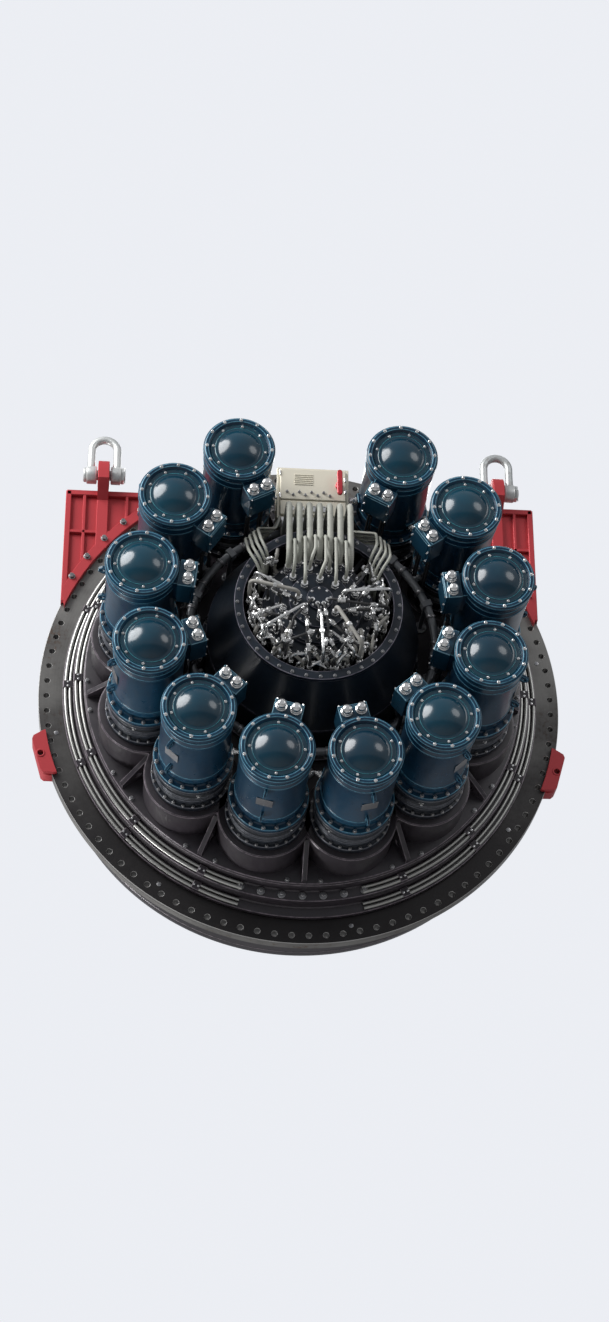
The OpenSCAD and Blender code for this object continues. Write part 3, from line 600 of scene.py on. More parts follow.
class Shell:
    """The vertices and faces of a piece, gathered before they become a mesh."""

    def __init__(self) -> None:
        """Starts empty."""
        self.points: list[Vector] = []
        self.faces: list[tuple[tuple[int, ...], float]] = []

    def face(self, corners: Iterable[int], wear: float = 0.0) -> None:
        """Adds one face with its edges' wear, and leaves out corners that repeat."""
        ring = tuple(dict.fromkeys(corners))
        self.faces += [(ring, wear)] if len(ring) > 2 else []

    def row(self, points: Iterable[Sizes], at: Matrix = HERE) -> list[int]:
        """Adds a row of points.

        Args:
            points: the points.
            at: where they go.

        Returns:
            Their numbers.
        """
        first = len(self.points)
        self.points.extend(at @ Vector(p) for p in points)
        return list(range(first, len(self.points)))

    def band(self, low: list[int], high: list[int], wear: float = 0.0, shut: bool = True) -> None:
        """Joins two rows with quads. A row of one point is a pole.

        Args:
            low: the first row.
            high: the second row.
            wear: the mark of its edges, which the finishes lighten for wear and for a painted edge
                highlight.
            shut: whether the rows close on themselves.
        """
        count = max(len(low), len(high))
        low = low * count if len(low) == 1 else low
        high = high * count if len(high) == 1 else high
        for i in range(count if shut else count - 1):
            j = (i + 1) % count
            self.face((low[i], low[j], high[j], high[i]), wear)

    def lathe(self, outline: Outline, size: float = 0.004, segments: int = 72,
              at: Matrix = HERE, shut: bool = False) -> "Shell":
        """Turns an outline of radii and stations round the local axis.

        Args:
            outline: radius and station of each point.
            size: size of the rounded corners.
            segments: number of facets round the axis.
            at: where the shape goes.
            shut: whether the outline closes on itself, as a ring's section does.

        Returns:
            This shell.
        """
        stops = soften(outline, size, shut)
        rows = [self.row(hoop(r, s, segments if r > TINY else 1), at) for r, s, _ in stops]
        for i in range(len(rows) if shut else len(rows) - 1):
            self.band(rows[i], rows[(i + 1) % len(rows)], stops[i][2])
        return self

    def ring(self, outer: float, inner: float, front: float, rear: float, size: float = 0.004,
             segments: int = 72, at: Matrix = HERE) -> "Shell":
        """Adds a ring between two radii and two stations."""
        section = [(inner, front), (outer, front), (outer, rear), (inner, rear)]
        return self.lathe(section, size, segments, at, shut=True)

    def disc(self, radius: float, front: float, rear: float, size: float = 0.004,
             segments: int = 72, at: Matrix = HERE) -> "Shell":
        """Adds a round bar between two stations."""
        section = [(0, front), (radius, front), (radius, rear), (0, rear)]
        return self.lathe(section, size, segments, at)

    def plate(self, outline: Outline, front: float, rear: float, size: float = 0.003,
              at: Matrix = HERE) -> "Shell":
        """Adds a flat plate of any outline between two stations, with broken edges.

        Args:
            outline: x and z of its corners.
            front: station of one face.
            rear: station of the other.
            size: width of the broken edges.
            at: where the plate goes.

        Returns:
            This shell.
        """
        turn = copysign(1.0, area(outline))
        inset = []
        for i, point in enumerate(outline):
            here = Vector(point)
            back = (here - Vector(outline[i - 1])).normalized()
            on = (Vector(outline[(i + 1) % len(outline)]) - here).normalized()
            normal = Vector((-back.y - on.y, back.x + on.x)) * turn
            normal = normal.normalized() if normal.length > TINY else Vector((-on.y, on.x)) * turn
            lean = max(0.4, normal.dot(Vector((-on.y, on.x)) * turn))
            inset.append(here + normal * (size / lean))
        levels = [(inset, front), (outline, front + size), (outline, rear - size), (inset, rear)]
        rows = self._levels(levels, at)
        for i in range(3):
            self.band(rows[i], rows[i + 1], float(i != 1))
        self.face(rows[0])
        self.face(rows[3])
        return self

    def _levels(self, levels: Sequence[tuple[Outline, float]], at: Matrix) -> list[list[int]]:
        """Adds a row of points for each outline and its station."""
        return [self.row(((p[0], -s, p[1]) for p in line), at) for line, s in levels]

    def block(self, low: Sizes, high: Sizes, size: float = 0.003, at: Matrix = HERE) -> "Shell":
        """Adds a box with broken edges between two corners in x, y and z."""
        return self.plate(
            box_outline(low[0], high[0], low[2], high[2]), -high[1], -low[1], size, at)

    def holed(self, outline: Outline, centre: Pair, radius: float, front: float,
              rear: float, size: float = 0.003, at: Matrix = HERE) -> "Shell":
        """Adds a plate with one round hole.

        Args:
            outline: corners of the plate, all seen from the hole's centre.
            centre: the hole's centre.
            radius: the hole's radius.
            front: station of one face.
            rear: station of the other.
            size: width of the broken edges.
            at: where the plate goes.

        Returns:
            This shell.
        """
        dense = []
        for a, b in zip(outline, [*outline[1:], outline[0]]):
            start, end = Vector(a), Vector(b)
            spread = (start - Vector(centre)).angle(end - Vector(centre), 0)
            parts = max(1, ceil(spread / radians(12)))
            dense.extend(start.lerp(end, k / parts) for k in range(parts))
        hub = Vector(centre)
        rays = [(p - hub).normalized() for p in dense]
        wide, bore = ([hub + d * r for d in rays] for r in (radius + size, radius))
        trimmed = [p - d * size for p, d in zip(dense, rays)]
        levels = [(wide, front), (trimmed, front), (dense, front + size), (dense, rear - size),
                  (trimmed, rear), (wide, rear), (bore, rear - size), (bore, front + size)]
        rows = self._levels(levels, at)
        for i, low in enumerate(rows):
            self.band(low, rows[(i + 1) % len(rows)], float(i % 2))
        return self

    def sweep(self, path: Sequence[Sizes], radii: Sizes, sides: int = 20,
              at: Matrix = HERE) -> "Shell":
        """Adds a round bar that follows a flat path and may change in radius.

        Args:
            path: points of the path.
            radii: the bar's radius at each.
            sides: facets round the bar.
            at: where the bar goes.

        Returns:
            This shell.
        """
        spots, side = [Vector(p) for p in path], Vector((0, 1, 0))
        rows = []
        for i, here in enumerate(spots):
            way = (spots[min(i + 1, len(spots) - 1)] - spots[max(i - 1, 0)]).normalized()
            other = way.cross(side).normalized()
            rows.append(self.row((here + side * a + other * b for a, b in arc(
                radii[i], 0, TURN, sides)[:-1]), at))
        for low, high in zip(rows, rows[1:]):
            self.band(low, high)
        self.face(rows[0])
        self.face(rows[-1])
        return self

    def bolt(self, radius: float, station: float, at: Matrix = HERE,
             height: float = 0.65) -> "Shell":
        """Adds a hexagon head on a washer, standing rearwards from a face.

        Args:
            radius: half the width over the head's corners.
            station: the face that it stands on.
            at: where the bolt goes.
            height: height of the head as a share of the width over corners.

        Returns:
            This shell.
        """
        washer = station + radius * 0.22
        self.lathe([(0, station - 0.004), (radius * 1.3, station - 0.004),
                    (radius * 1.3, washer), (0, washer)], radius * 0.08, 14, at)
        top = washer + 2 * radius * height
        return self.plate(arc(radius, 0, TURN, 6)[:-1], washer - 0.001, top, radius * 0.16, at)

    def nut(self, radius: float, half: float, sleeve: float, at: Matrix) -> None:
        """Adds a hexagon nut round a pipe, and a longer sleeve through it."""
        self.disc(radius, -half, half, 0.003, 6, at)
        self.disc(sleeve, -0.034, 0.034, 0.003, 12, at)

    def mesh(self, name: str) -> bpy.types.Mesh:
        """Turns the gathered faces into a mesh with its faces outwards.

        Args:
            name: the mesh's name.

        Returns:
            The mesh.
        """
        corners, wear = zip(*self.faces)
        made = bpy.data.meshes.new(name)
        made.from_pydata(self.points, [], corners)
        made.attributes.new("wear", "FLOAT", "FACE").data.foreach_set("value", wear)
        outwards(made)
        return made


# ---- Geometry Nodes ----


class GeometryTool(Graph):
    """A Geometry Nodes tree with named inputs, put on a piece as a modifier."""

    def __init__(self, name: str, **inputs: str) -> None:
        """Makes the tree.

        Args:
            name: the tree's name.
            inputs: type of each input after the geometry, with _ for each space in its name.
        """
        tree = bpy.data.node_groups.new(name, "GeometryNodeTree")
        super().__init__(tree)
        face = tree.interface
        face.new_socket(name="Geometry", in_out="INPUT", socket_type="NodeSocketGeometry")
        self.identifiers = {label: face.new_socket(
            name=label.replace("_", " "), in_out="INPUT",
            socket_type=f"NodeSocket{kind}").identifier for label, kind in inputs.items()}
        face.new_socket(name="Geometry", in_out="OUTPUT", socket_type="NodeSocketGeometry")
        self.entry = self.node("NodeGroupInput")

    def given(self, label: str) -> Wire:
        """Gives one of the tree's inputs."""
        return Wire(self, self.entry.outputs[label])

    def close(self, geometry: Wire, weld: Optional[Wire] = None) -> None:
        """Ends the tree with real meshes in the given finish.

        Args:
            geometry: the shape.
            weld: distance under which points are joined, if any.
        """
        solid = self.wire("GeometryNodeRealizeInstances", {0: geometry})
        if weld is not None:
            solid = self.wire("GeometryNodeMergeByDistance", {"Geometry": solid, "Distance": weld})
        dressed = self.wire(
            "GeometryNodeSetMaterial", {"Geometry": solid, "Material": self.given("Finish")})
        self.node("NodeGroupOutput", {0: dressed})

    def put_on(self, piece: bpy.types.Object, finish: Finish, **values: float) -> None:
        """Adds the tree to a piece as a modifier.

        Args:
            piece: the piece.
            finish: the finish of what the tree makes.
            values: the tree's other inputs.
        """
        modifier = piece.modifiers.new(self.tree.name, "NODES")
        modifier.node_group = self.tree
        modifier[self.identifiers["Finish"]] = finish.material()
        for label, value in values.items():
            modifier[self.identifiers[label]] = value


def circle_tool() -> GeometryTool:
    """Makes the tree that sets copies of a mesh round the machine's axis.

    Returns:
        The tree, whose copies turn with their angle.
    """
    tool = GeometryTool("copies_round_axis", Count="Int", Radius="Float", First_angle="Float",
                        Step_angle="Float", Weld_distance="Float", Finish="Material")
    index = tool.wire("GeometryNodeInputIndex")
    angle = tool.given("First angle") + index * tool.given("Step angle")
    reach = tool.given("Radius")
    place = tool.wire("ShaderNodeCombineXYZ", {
        0: reach * angle.maths("COSINE", angle), 1: 0.0, 2: reach * angle.sine()})
    spots = tool.wire("GeometryNodePoints", {"Count": tool.given("Count"), "Position": place})
    turn = tool.wire("ShaderNodeCombineXYZ", {0: 0.0, 1: angle * -1.0, 2: 0.0})
    copies = tool.wire("GeometryNodeInstanceOnPoints", {
        "Points": spots, "Instance": tool.given("Geometry"), "Rotation": turn})
    tool.close(copies, tool.given("Weld distance"))
    return tool


def pipe_tool() -> GeometryTool:
    """Makes the tree that turns chains of edges into bent pipes with flat ends.

    Returns:
        The tree, which keeps the distance along each pipe in the attribute run.
    """
    tool = GeometryTool("pipes_along_edges", Pipe_radius="Float", Bend_radius="Float",
                        Bend_steps="Int", Sides="Int", Finish="Material")
    line = tool.wire("GeometryNodeMeshToCurve", {"Mesh": tool.given("Geometry")})
    bent = tool.wire("GeometryNodeFilletCurve", {
        "Curve": line, "Count": tool.given("Bend steps"), "Radius": tool.given("Bend radius"),
        "Limit Radius": True}, mode="POLY")
    length = tool.wire("GeometryNodeSplineParameter", output="Length")
    marked = tool.wire(
        "GeometryNodeStoreNamedAttribute",
        {"Geometry": bent, "Name": "run", "Value": length}, data_type="FLOAT", domain="POINT")
    profile = tool.wire("GeometryNodeCurvePrimitiveCircle", {
        "Resolution": tool.given("Sides"), "Radius": tool.given("Pipe radius")}, mode="RADIUS")
    tool.close(tool.wire("GeometryNodeCurveToMesh", {
        "Curve": marked, "Profile Curve": profile, "Fill Caps": True}))
    return tool


CIRCLE = circle_tool()
PIPE = pipe_tool()


@dataclass(frozen=True)
class Around:
    """Copies at even steps round the machine's axis."""

    count: int
    radius: float = 0.0
    first: float = 0.0
    step: Optional[float] = None
    weld: float = 0.0

    def put_on(self, piece: bpy.types.Object, finish: Finish) -> None:
        """Adds the copies to a piece."""
        CIRCLE.put_on(piece, finish, Count=self.count, Radius=self.radius, Weld_distance=self.weld,
                      First_angle=self.first, Step_angle=self.step or TURN / self.count)


@dataclass(frozen=True)
class Pipe:
    """Pipes or hoses along a piece's edges, bent at their corners."""

    radius: float
    bend: float = 0.06
    sides: int = 16
    steps: int = 6

    def put_on(self, piece: bpy.types.Object, finish: Finish) -> None:
        """Turns a piece's edges into pipes."""
        PIPE.put_on(piece, finish, Pipe_radius=self.radius, Bend_radius=self.bend,
                    Bend_steps=self.steps, Sides=self.sides)


# ---- Pieces ----


class SubAssembly:
    """A part of the machine that builds its own pieces and rides on one body."""

    body = HOUSING

    def build(self) -> None:
        """Makes the pieces."""
        raise NotImplementedError

    def piece(self, name: str, shape: Union[Shell, bpy.types.Mesh], finish: Finish,
              *parts: Union[Pipe, Around, str], body: Optional[str] = None) -> bpy.types.Object:
        """Makes one piece in plain mesh, dresses it and gives it to its body.

        Args:
            name: the piece's name.
            shape: its shell or mesh.
            finish: its finish.
            parts: its pipes and copies in order, and the CAD nodes that it replaces.
            body: the body that it rides on, or the sub-assembly's own.

        Returns:
            The piece.
        """
        stands_for = [part for part in parts if isinstance(part, str)]
        made = stand(name, shape.mesh(name) if isinstance(shape, Shell) else shape)
        for part in parts:
            if not isinstance(part, str):
                part.put_on(made, finish)
        if made.modifiers:
            graph = bpy.context.evaluated_depsgraph_get()
            plain = bpy.data.meshes.new_from_object(made.evaluated_get(graph), depsgraph=graph)
            made.modifiers.clear()
            made.data = plain
        mesh = made.data
        mesh.name = name
        mesh.materials.clear()
        mesh.materials.append(finish.material())
        mesh.polygons.foreach_set("material_index", [0] * len(mesh.polygons))
        mesh.polygons.foreach_set("use_smooth", [True] * len(mesh.polygons))
        mesh.set_sharp_from_angle(angle=SHARP_EDGE)
        mesh.update()
        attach(made, body or self.body)
        if stands_for:
            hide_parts(*stands_for)
        log.info("%-26s %7d faces on %s", name, len(mesh.polygons), body or self.body)
        return made

    def bolts(self, name: str, size: float, station: float, *rings: Around,
              steel: Finish = BOLT_STEEL, turn: Matrix = HERE) -> None:
        """Makes a ring of bolts on the face at a station."""
        self.piece(name, Shell().bolt(size, station, turn), steel, *rings)

    def pipes(self, name: str, runs: Iterable[Sequence[Sizes]], finish: Finish,
              pipe: Pipe, *parts: Union[Around, str], shut: bool = False) -> None:
        """Makes pipes or hoses along runs of points, all in one piece.

        Args:
            name: the piece's name.
            runs: the points of each run.
            finish: their finish.
            pipe: their size and bends.
            parts: their copies and the CAD nodes that they replace.
            shut: whether each run closes on itself.
        """
        points, edges = [], []
        for run in runs:
            first = len(points)
            points += run
            edges += ((i, i + 1) for i in range(first, len(points) - 1))
            if shut:
                edges.append((len(points) - 1, first))
        mesh = bpy.data.meshes.new(name)
        mesh.from_pydata(points, edges, [])
        self.piece(name, mesh, finish, pipe, *parts)


@dataclass(frozen=True)
class Layout:
    """Stations and radii that the sub-assemblies share."""

    units: int = 13
    unit_ring: float = 1.53
    flange_rear: float = 0.12
    collar_1_end: float = 0.18
    collar_2_end: float = 0.33
    collar_3_end: float = 0.48
    wall_rear: float = 0.85
    case_rear: float = 0.86
    adapter_end: float = 1.23
    motor_end: float = 2.16
    shield_end: float = 2.222

    @property
    def step(self) -> float:
        """Angle between neighbouring gear unit places."""
        return TURN / self.units

    def angle(self, place: float) -> float:
        """Angle of a gear unit place, where place 0 is the empty one at the top."""
        return pi / 2 + place * self.step

    @property
    def top(self) -> Around:
        """One copy, at the empty place."""
        return Around(1, self.unit_ring, self.angle(0))

    @property
    def motors(self) -> Around:
        """Copies at the twelve places that hold a motor."""
        return Around(self.units - 1, self.unit_ring, self.angle(1), self.step)

    @property
    def places(self) -> Around:
        """Copies at all thirteen places."""
        return Around(self.units, self.unit_ring, self.angle(0), self.step)

    @property
    def ribs(self) -> Around:
        """Copies in the valleys between the places."""
        return Around(self.units, 0, self.angle(0.5), self.step)


LAYOUT = Layout()
MOTORS = LAYOUT.motors


@dataclass
class HoledRing(SubAssembly):
    """A flat ring with a circle of bolt holes, made of one sector for each hole."""

    name: str
    node: str
    finish: Finish
    outer: Sequence[Point]
    inner: Sequence[Point]
    pitch_r: float
    count: int
    hole_r: float
    half: float
    rear: float
    front: float
    depth: Optional[float] = None
    chamfer: float = 0.003
    body: str = HOUSING

    def _hole(self, shell: Shell, radius: float, station: float) -> list[int]:
        """Adds a hole's points at a station, with one at each corner of its sector."""
        return shell.row(spot(self.pitch_r + r, t / self.pitch_r, station) for r, t in (
            polar(radius, radians(45 + 22.5 * k)) for k in range(16)))

    def _border(self, shell: Shell, station: float) -> list[int]:
        """Adds the sixteen points of a sector's border round its hole.

        Args:
            shell: the shell that takes them.
            station: their station.

        Returns:
            Their numbers.
        """
        sides = [(1 - k / 2, 1) for k in range(4)] + [(-1, 1 - k / 2) for k in range(4)]
        return shell.row(spot(self.pitch_r + a * self.half, b * pi / self.count, station)
                         for a, b in sides + [(-a, -b) for a, b in sides])

    def build(self) -> None:
        """Makes one sector and sets it round the axis."""
        shell = Shell()
        rear, front, h, hole = self.rear, self.front, pi / self.count, self.hole_r
        low, high = self.pitch_r - self.half, self.pitch_r + self.half
        way = copysign(1.0, rear - front)
        border = self._border(shell, rear)
        wide = self._hole(shell, hole + self.chamfer, rear)
        bore = self._hole(shell, hole, rear - way * self.chamfer)
        shell.band(border, wide)
        shell.band(wide, bore, 1.0)
        outer = [(high, rear, 0), *self.outer]
        inner = [*self.inner, (low, rear, 0)]
        if self.depth is None:
            end = self._hole(shell, hole, front + way * self.chamfer)
            wide = self._hole(shell, hole + self.chamfer, front)
            shell.band(bore, end)
            shell.band(end, wide, 1.0)
            shell.band(wide, self._border(shell, front))
            columns = [[*outer, (high, front, 0)], [(low, front, 0), *inner]]
        else:
            floor = rear - way * self.depth
            end = self._hole(shell, hole, floor)
            shell.band(bore, end)
            shell.band(end, shell.row([spot(self.pitch_r, 0, floor)]))
            columns = [[*outer, *inner]]
        for stops in columns:
            rows = [shell.row(spot(r, h * (k / 2 - 1), s) for k in range(5)) for r, s, _ in stops]
            for i in range(len(rows) - 1):
                shell.band(rows[i], rows[i + 1], stops[i][2], shut=False)
        copies = Around(self.count, first=h, weld=WELD)
        made = self.piece(self.name, shell, self.finish, copies, self.node)
        outwards(made.data)


@dataclass
class ShieldFlange(SubAssembly):
    """The pale flange that bolts to the shield."""

    outer_r: float = 2.3997
    bore_r: float = 1.87
    pitch_r: float = 2.325
    edge: float = 0.0045
    groove_at: float = 0.089
    groove_half: float = 0.006
    groove_depth: float = 0.004

    def build(self) -> None:
        """Makes the flange with its ninety-six holes and the groove round its rim."""
        rear, rim, bore, edge = LAYOUT.flange_rear, self.outer_r, self.bore_r, self.edge
        low, high = self.groove_at - self.groove_half, self.groove_at + self.groove_half
        deep = rim - self.groove_depth
        # The rim's edges and the groove's walls carry wear marks, which the steel finish lightens:
        # edge wear, partly a painted highlight of the lit rim.
        outer = [(rim - edge, rear, 1.0), (rim, rear - edge, 0), (rim, high, 0.5),
                 (deep, high - 0.003, 0), (deep, low + 0.003, 0.5), (rim, low, 0),
                 (rim, edge, 1.0), (rim - edge, 0, 0)]
        inner = [(bore + edge, 0, 1.0), (bore, edge, 0), (bore, rear - edge, 1.0),
                 (bore + edge, rear, 0)]
        HoledRing("shield_flange", "mounting_flange", FLANGE_STEEL, outer, inner, self.pitch_r,
                  count=96, hole_r=0.026, half=0.066, rear=rear, front=0.0).build()
        dowel = Shell().disc(0.02, rear - 0.01, rear + 0.004, 0.002, 20)
        self.piece("flange_dowels", dowel, BOLT_STEEL, Around(8, 2.262, 0.2))


@dataclass
class FrontCasing(SubAssembly):
    """The casing through the shield's bulkhead and the bolted seal ring in front of it."""

    outer_r: float = 2.25
    inner_r: float = 2.13
    length: float = 0.6
    seal_outer: float = 2.205
    seal_inner: float = 1.79
    seal_t: float = 0.04

    def build(self) -> None:
        """Makes the casing, its weld and the seal ring with its bolts."""
        far, rim, low = -self.length, self.outer_r, self.outer_r - 0.005
        section = [(self.inner_r, far), (rim, far), (rim, far + 0.09), (low, far + 0.095),
                   (low, far + 0.24), (rim, far + 0.245), (rim, far + 0.33), (low, far + 0.335),
                   (low, -0.03), (rim, -0.018), (rim, 0), (self.inner_r, 0)]
        casing = Shell().lathe(section, 0.004, 216, shut=True)
        self.piece("front_casing_shell", casing, CASE_BLACK, "front_casing")
        front, inn = far - self.seal_t, self.seal_inner
        seal = Shell().ring(self.seal_outer, inn, front, far, 0.004, 216)
        seal.ring(inn + 0.09, inn + 0.002, front - 0.006, far, 0.003, 216)
        self.piece("outer_seal", seal, RING_STEEL, "outer_seal_ring")
        self.bolts("outer_seal_bolts", 0.021, -front, Around(72, 2.165), turn=FORWARD)
        self.bolts("outer_seal_lip_bolts", 0.013, -front, Around(60, 1.915, 0.03), turn=FORWARD)


@dataclass
class GearCase(SubAssembly):
    """The gear case: collars in front, and the lobed body that carries the gear units."""

    collar_r: Sizes = (2.18, 2.085, 1.99)
    bore_r: float = 1.87
    cavity_r: float = 1.6
    lobe_r: float = 0.41
    body_r: float = 1.63
    seat_r: float = 0.931
    fillet: float = 0.06
    columns: int = 520
    lip: float = 0.006

    def _outline(self, angle: float) -> float:
        """Gives the lobed body's radius at an angle, with filleted valleys.

        Args:
            angle: angle round the axis.

        Returns:
            The radius.
        """
        reaches = sorted(
            (self._reach(angle - LAYOUT.angle(k)) for k in range(LAYOUT.units)), reverse=True)
        blend = max(0, self.fillet - (reaches[0] - reaches[1])) / self.fillet
        return reaches[0] + blend * blend * self.fillet * 0.25

    def _reach(self, off: float) -> float:
        """Gives how far from the axis a lobe reaches at an angle off its middle."""
        side, on = LAYOUT.unit_ring * sin(off), LAYOUT.unit_ring * cos(off)
        return max(self.body_r, on + sqrt(max(0, self.lobe_r ** 2 - side ** 2)))

    def _lobes(self) -> Shell:
        """Makes the lobed body as one closed shell.

        Returns:
            The shell.
        """
        rear, front, lip = LAYOUT.wall_rear, LAYOUT.collar_3_end - 0.002, self.lip
        angles = [TURN * k / self.columns for k in range(self.columns)]
        line = [(self._outline(a), a) for a in angles]
        shell = Shell()
        rows = [shell.row(spot(r + out, a, s) for r, a in line) for out, s in (
            (0, front), (0, rear - 0.056), (lip, rear - 0.05), (lip, rear - 0.006), (0, rear))]
        rows += [shell.row(hoop(r, s, self.columns)) for r, s in (
            (self.seat_r, rear), (self.seat_r, rear - 0.05), (self.cavity_r, rear - 0.06),
            (self.cavity_r, front))]
        for i, low in enumerate(rows):
            shell.band(low, rows[(i + 1) % len(rows)], float(i == 3))
        return shell

    def build(self) -> None:
        """Makes the case, its bosses, ribs, plugs and the bolts of its joint."""
        one, two, three = self.collar_r
        bore, s0, s1, s2, s3 = (self.bore_r, LAYOUT.flange_rear, LAYOUT.collar_1_end,
                                LAYOUT.collar_2_end, LAYOUT.collar_3_end)
        section = [
            (bore, s0), (one - 0.012, s0), (one - 0.012, s0 + 0.008), (one, s0 + 0.014),
            (one, s1), (two + 0.006, s1), (two, s1 + 0.008), (two, s2), (three + 0.006, s2),
            (three, s2 + 0.008), (three, s3 - 0.03), (three - 0.008, s3 - 0.026),
            (three - 0.008, s3), (self.cavity_r, s3), (self.cavity_r, s2), (bore, s2)]
        collars = Shell().lathe(section, 0.007, 256, shut=True)
        self.piece("case_collars", collars, CASE_BLACK, "gear_case")
        self.piece("case_body", self._lobes(), CASE_BLACK, "case_lobes")
        boss = Shell().ring(
            self.lobe_r - 0.003, 0.29, LAYOUT.wall_rear - 0.01, LAYOUT.case_rear, 0.003, 80)
        self.piece("case_bosses", boss, CASE_BLACK, LAYOUT.places)
        side = Facing.SIDE.at()
        outline = [(1.44, s3 - 0.01), (1.968, s3 - 0.01), (1.968, s3 + 0.055),
                   (1.7, 0.792), (1.44, 0.792)]
        rib = Shell().holed(outline, (1.8, s3 + 0.085), 0.032, -0.022, 0.022, 0.004, side)
        self.piece("case_ribs", rib, CASE_BLACK, LAYOUT.ribs)
        self.bolts("case_joint_bolts", 0.017, s3, Around(2, 1.955, -0.075, 0.15), LAYOUT.ribs)
        plug = Shell().disc(0.034, s2 - 0.004, s2 + 0.012, 0.003, 24)
        plug.bolt(0.018, s2 + 0.01)
        self.piece("case_plugs", plug, BOLT_STEEL, Around(7, 2.037, -pi / 2 - 0.27, 0.09))
        weld = Shell()
        for r, s in ((three, s2), (two, s1)):
            weld.lathe([(r - 0.012, s - 0.001), (r + 0.01, s - 0.001), (r - 0.001, s + 0.012),
                        (r - 0.012, s + 0.01)], 0.003, 192, shut=True)
        self.piece("case_welds", weld, CASE_BLACK)


@dataclass
class MainBearing(SubAssembly):
    """The bearing and the turning ring that the cutterhead bolts to."""

    rotor_r: float = 1.78
    pitch_r: float = 1.63
    hub_r: float = 1.37
    bore_r: float = 1.0103
    race_r: float = 1.3965
    root_r: float = 1.3
    teeth: int = 154
    face: float = -0.74
    back: float = -0.38

    def build(self) -> None:
        """Makes the turning ring and its toothed wheel, and dresses the outer ring."""
        rim, hub, bore, face, back = self.rotor_r, self.hub_r, self.bore_r, self.face, self.back
        low = rim - 0.006
        outer = [(rim - 0.005, face, 1.0), (rim, face + 0.005, 0), (rim, face + 0.11, 0.5),
                 (low, face + 0.116, 0), (low, face + 0.15, 0.5), (rim, face + 0.156, 0),
                 (rim, back - 0.006, 1.0), (low, back, 0), (hub + 0.03, back, 0),
                 (hub, back + 0.03, 0), (hub, 0.06, 0)]
        inner = [(bore, 0.06, 0), (bore, face + 0.005, 1.0), (bore + 0.005, face, 0)]
        HoledRing(
            "cutterhead_ring", "rotor_ring", RING_STEEL, outer, inner, self.pitch_r, count=64,
            hole_r=0.033, half=0.075, rear=face, front=0.06, depth=0.15, body=ROTOR).build()
        spigot = Shell().ring(1.2, 1.09, face - 0.012, face + 0.01, 0.003, 192)
        self.piece("cutterhead_spigot", spigot, RING_STEEL, body=ROTOR)
        dowel = Shell().disc(0.034, -face - 0.02, -face + 0.012, 0.003, 28, FORWARD)
        self.piece("cutterhead_dowels", dowel, BOLT_STEEL, Around(6, 1.48, 0.3), body=ROTOR)
        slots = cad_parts["bearing_outer_ring"].data.materials
        slots.clear()
        slots.append(RING_STEEL.material())
        log.info("bearing_outer_ring keeps its CAD shape")
        race, root = self.race_r, self.root_r
        wheel = [(bore, 0.0605), (race, 0.0605), (race, 0.33), (root, 0.33), (root, 0.48),
                 (bore, 0.48)]
        self.piece("bearing_wheel", Shell().lathe(wheel, 0.004, 192, shut=True),
                   RING_STEEL, "bearing_gear_ring", body=ROTOR)
        tooth = Shell().plate([(-0.003, -0.017), (0.044, -0.008), (0.044, 0.008),
                               (-0.003, 0.017)], 0.334, 0.478, 0.003)
        self.piece("bearing_wheel_teeth", tooth, RING_STEEL, Around(self.teeth, root), body=ROTOR)


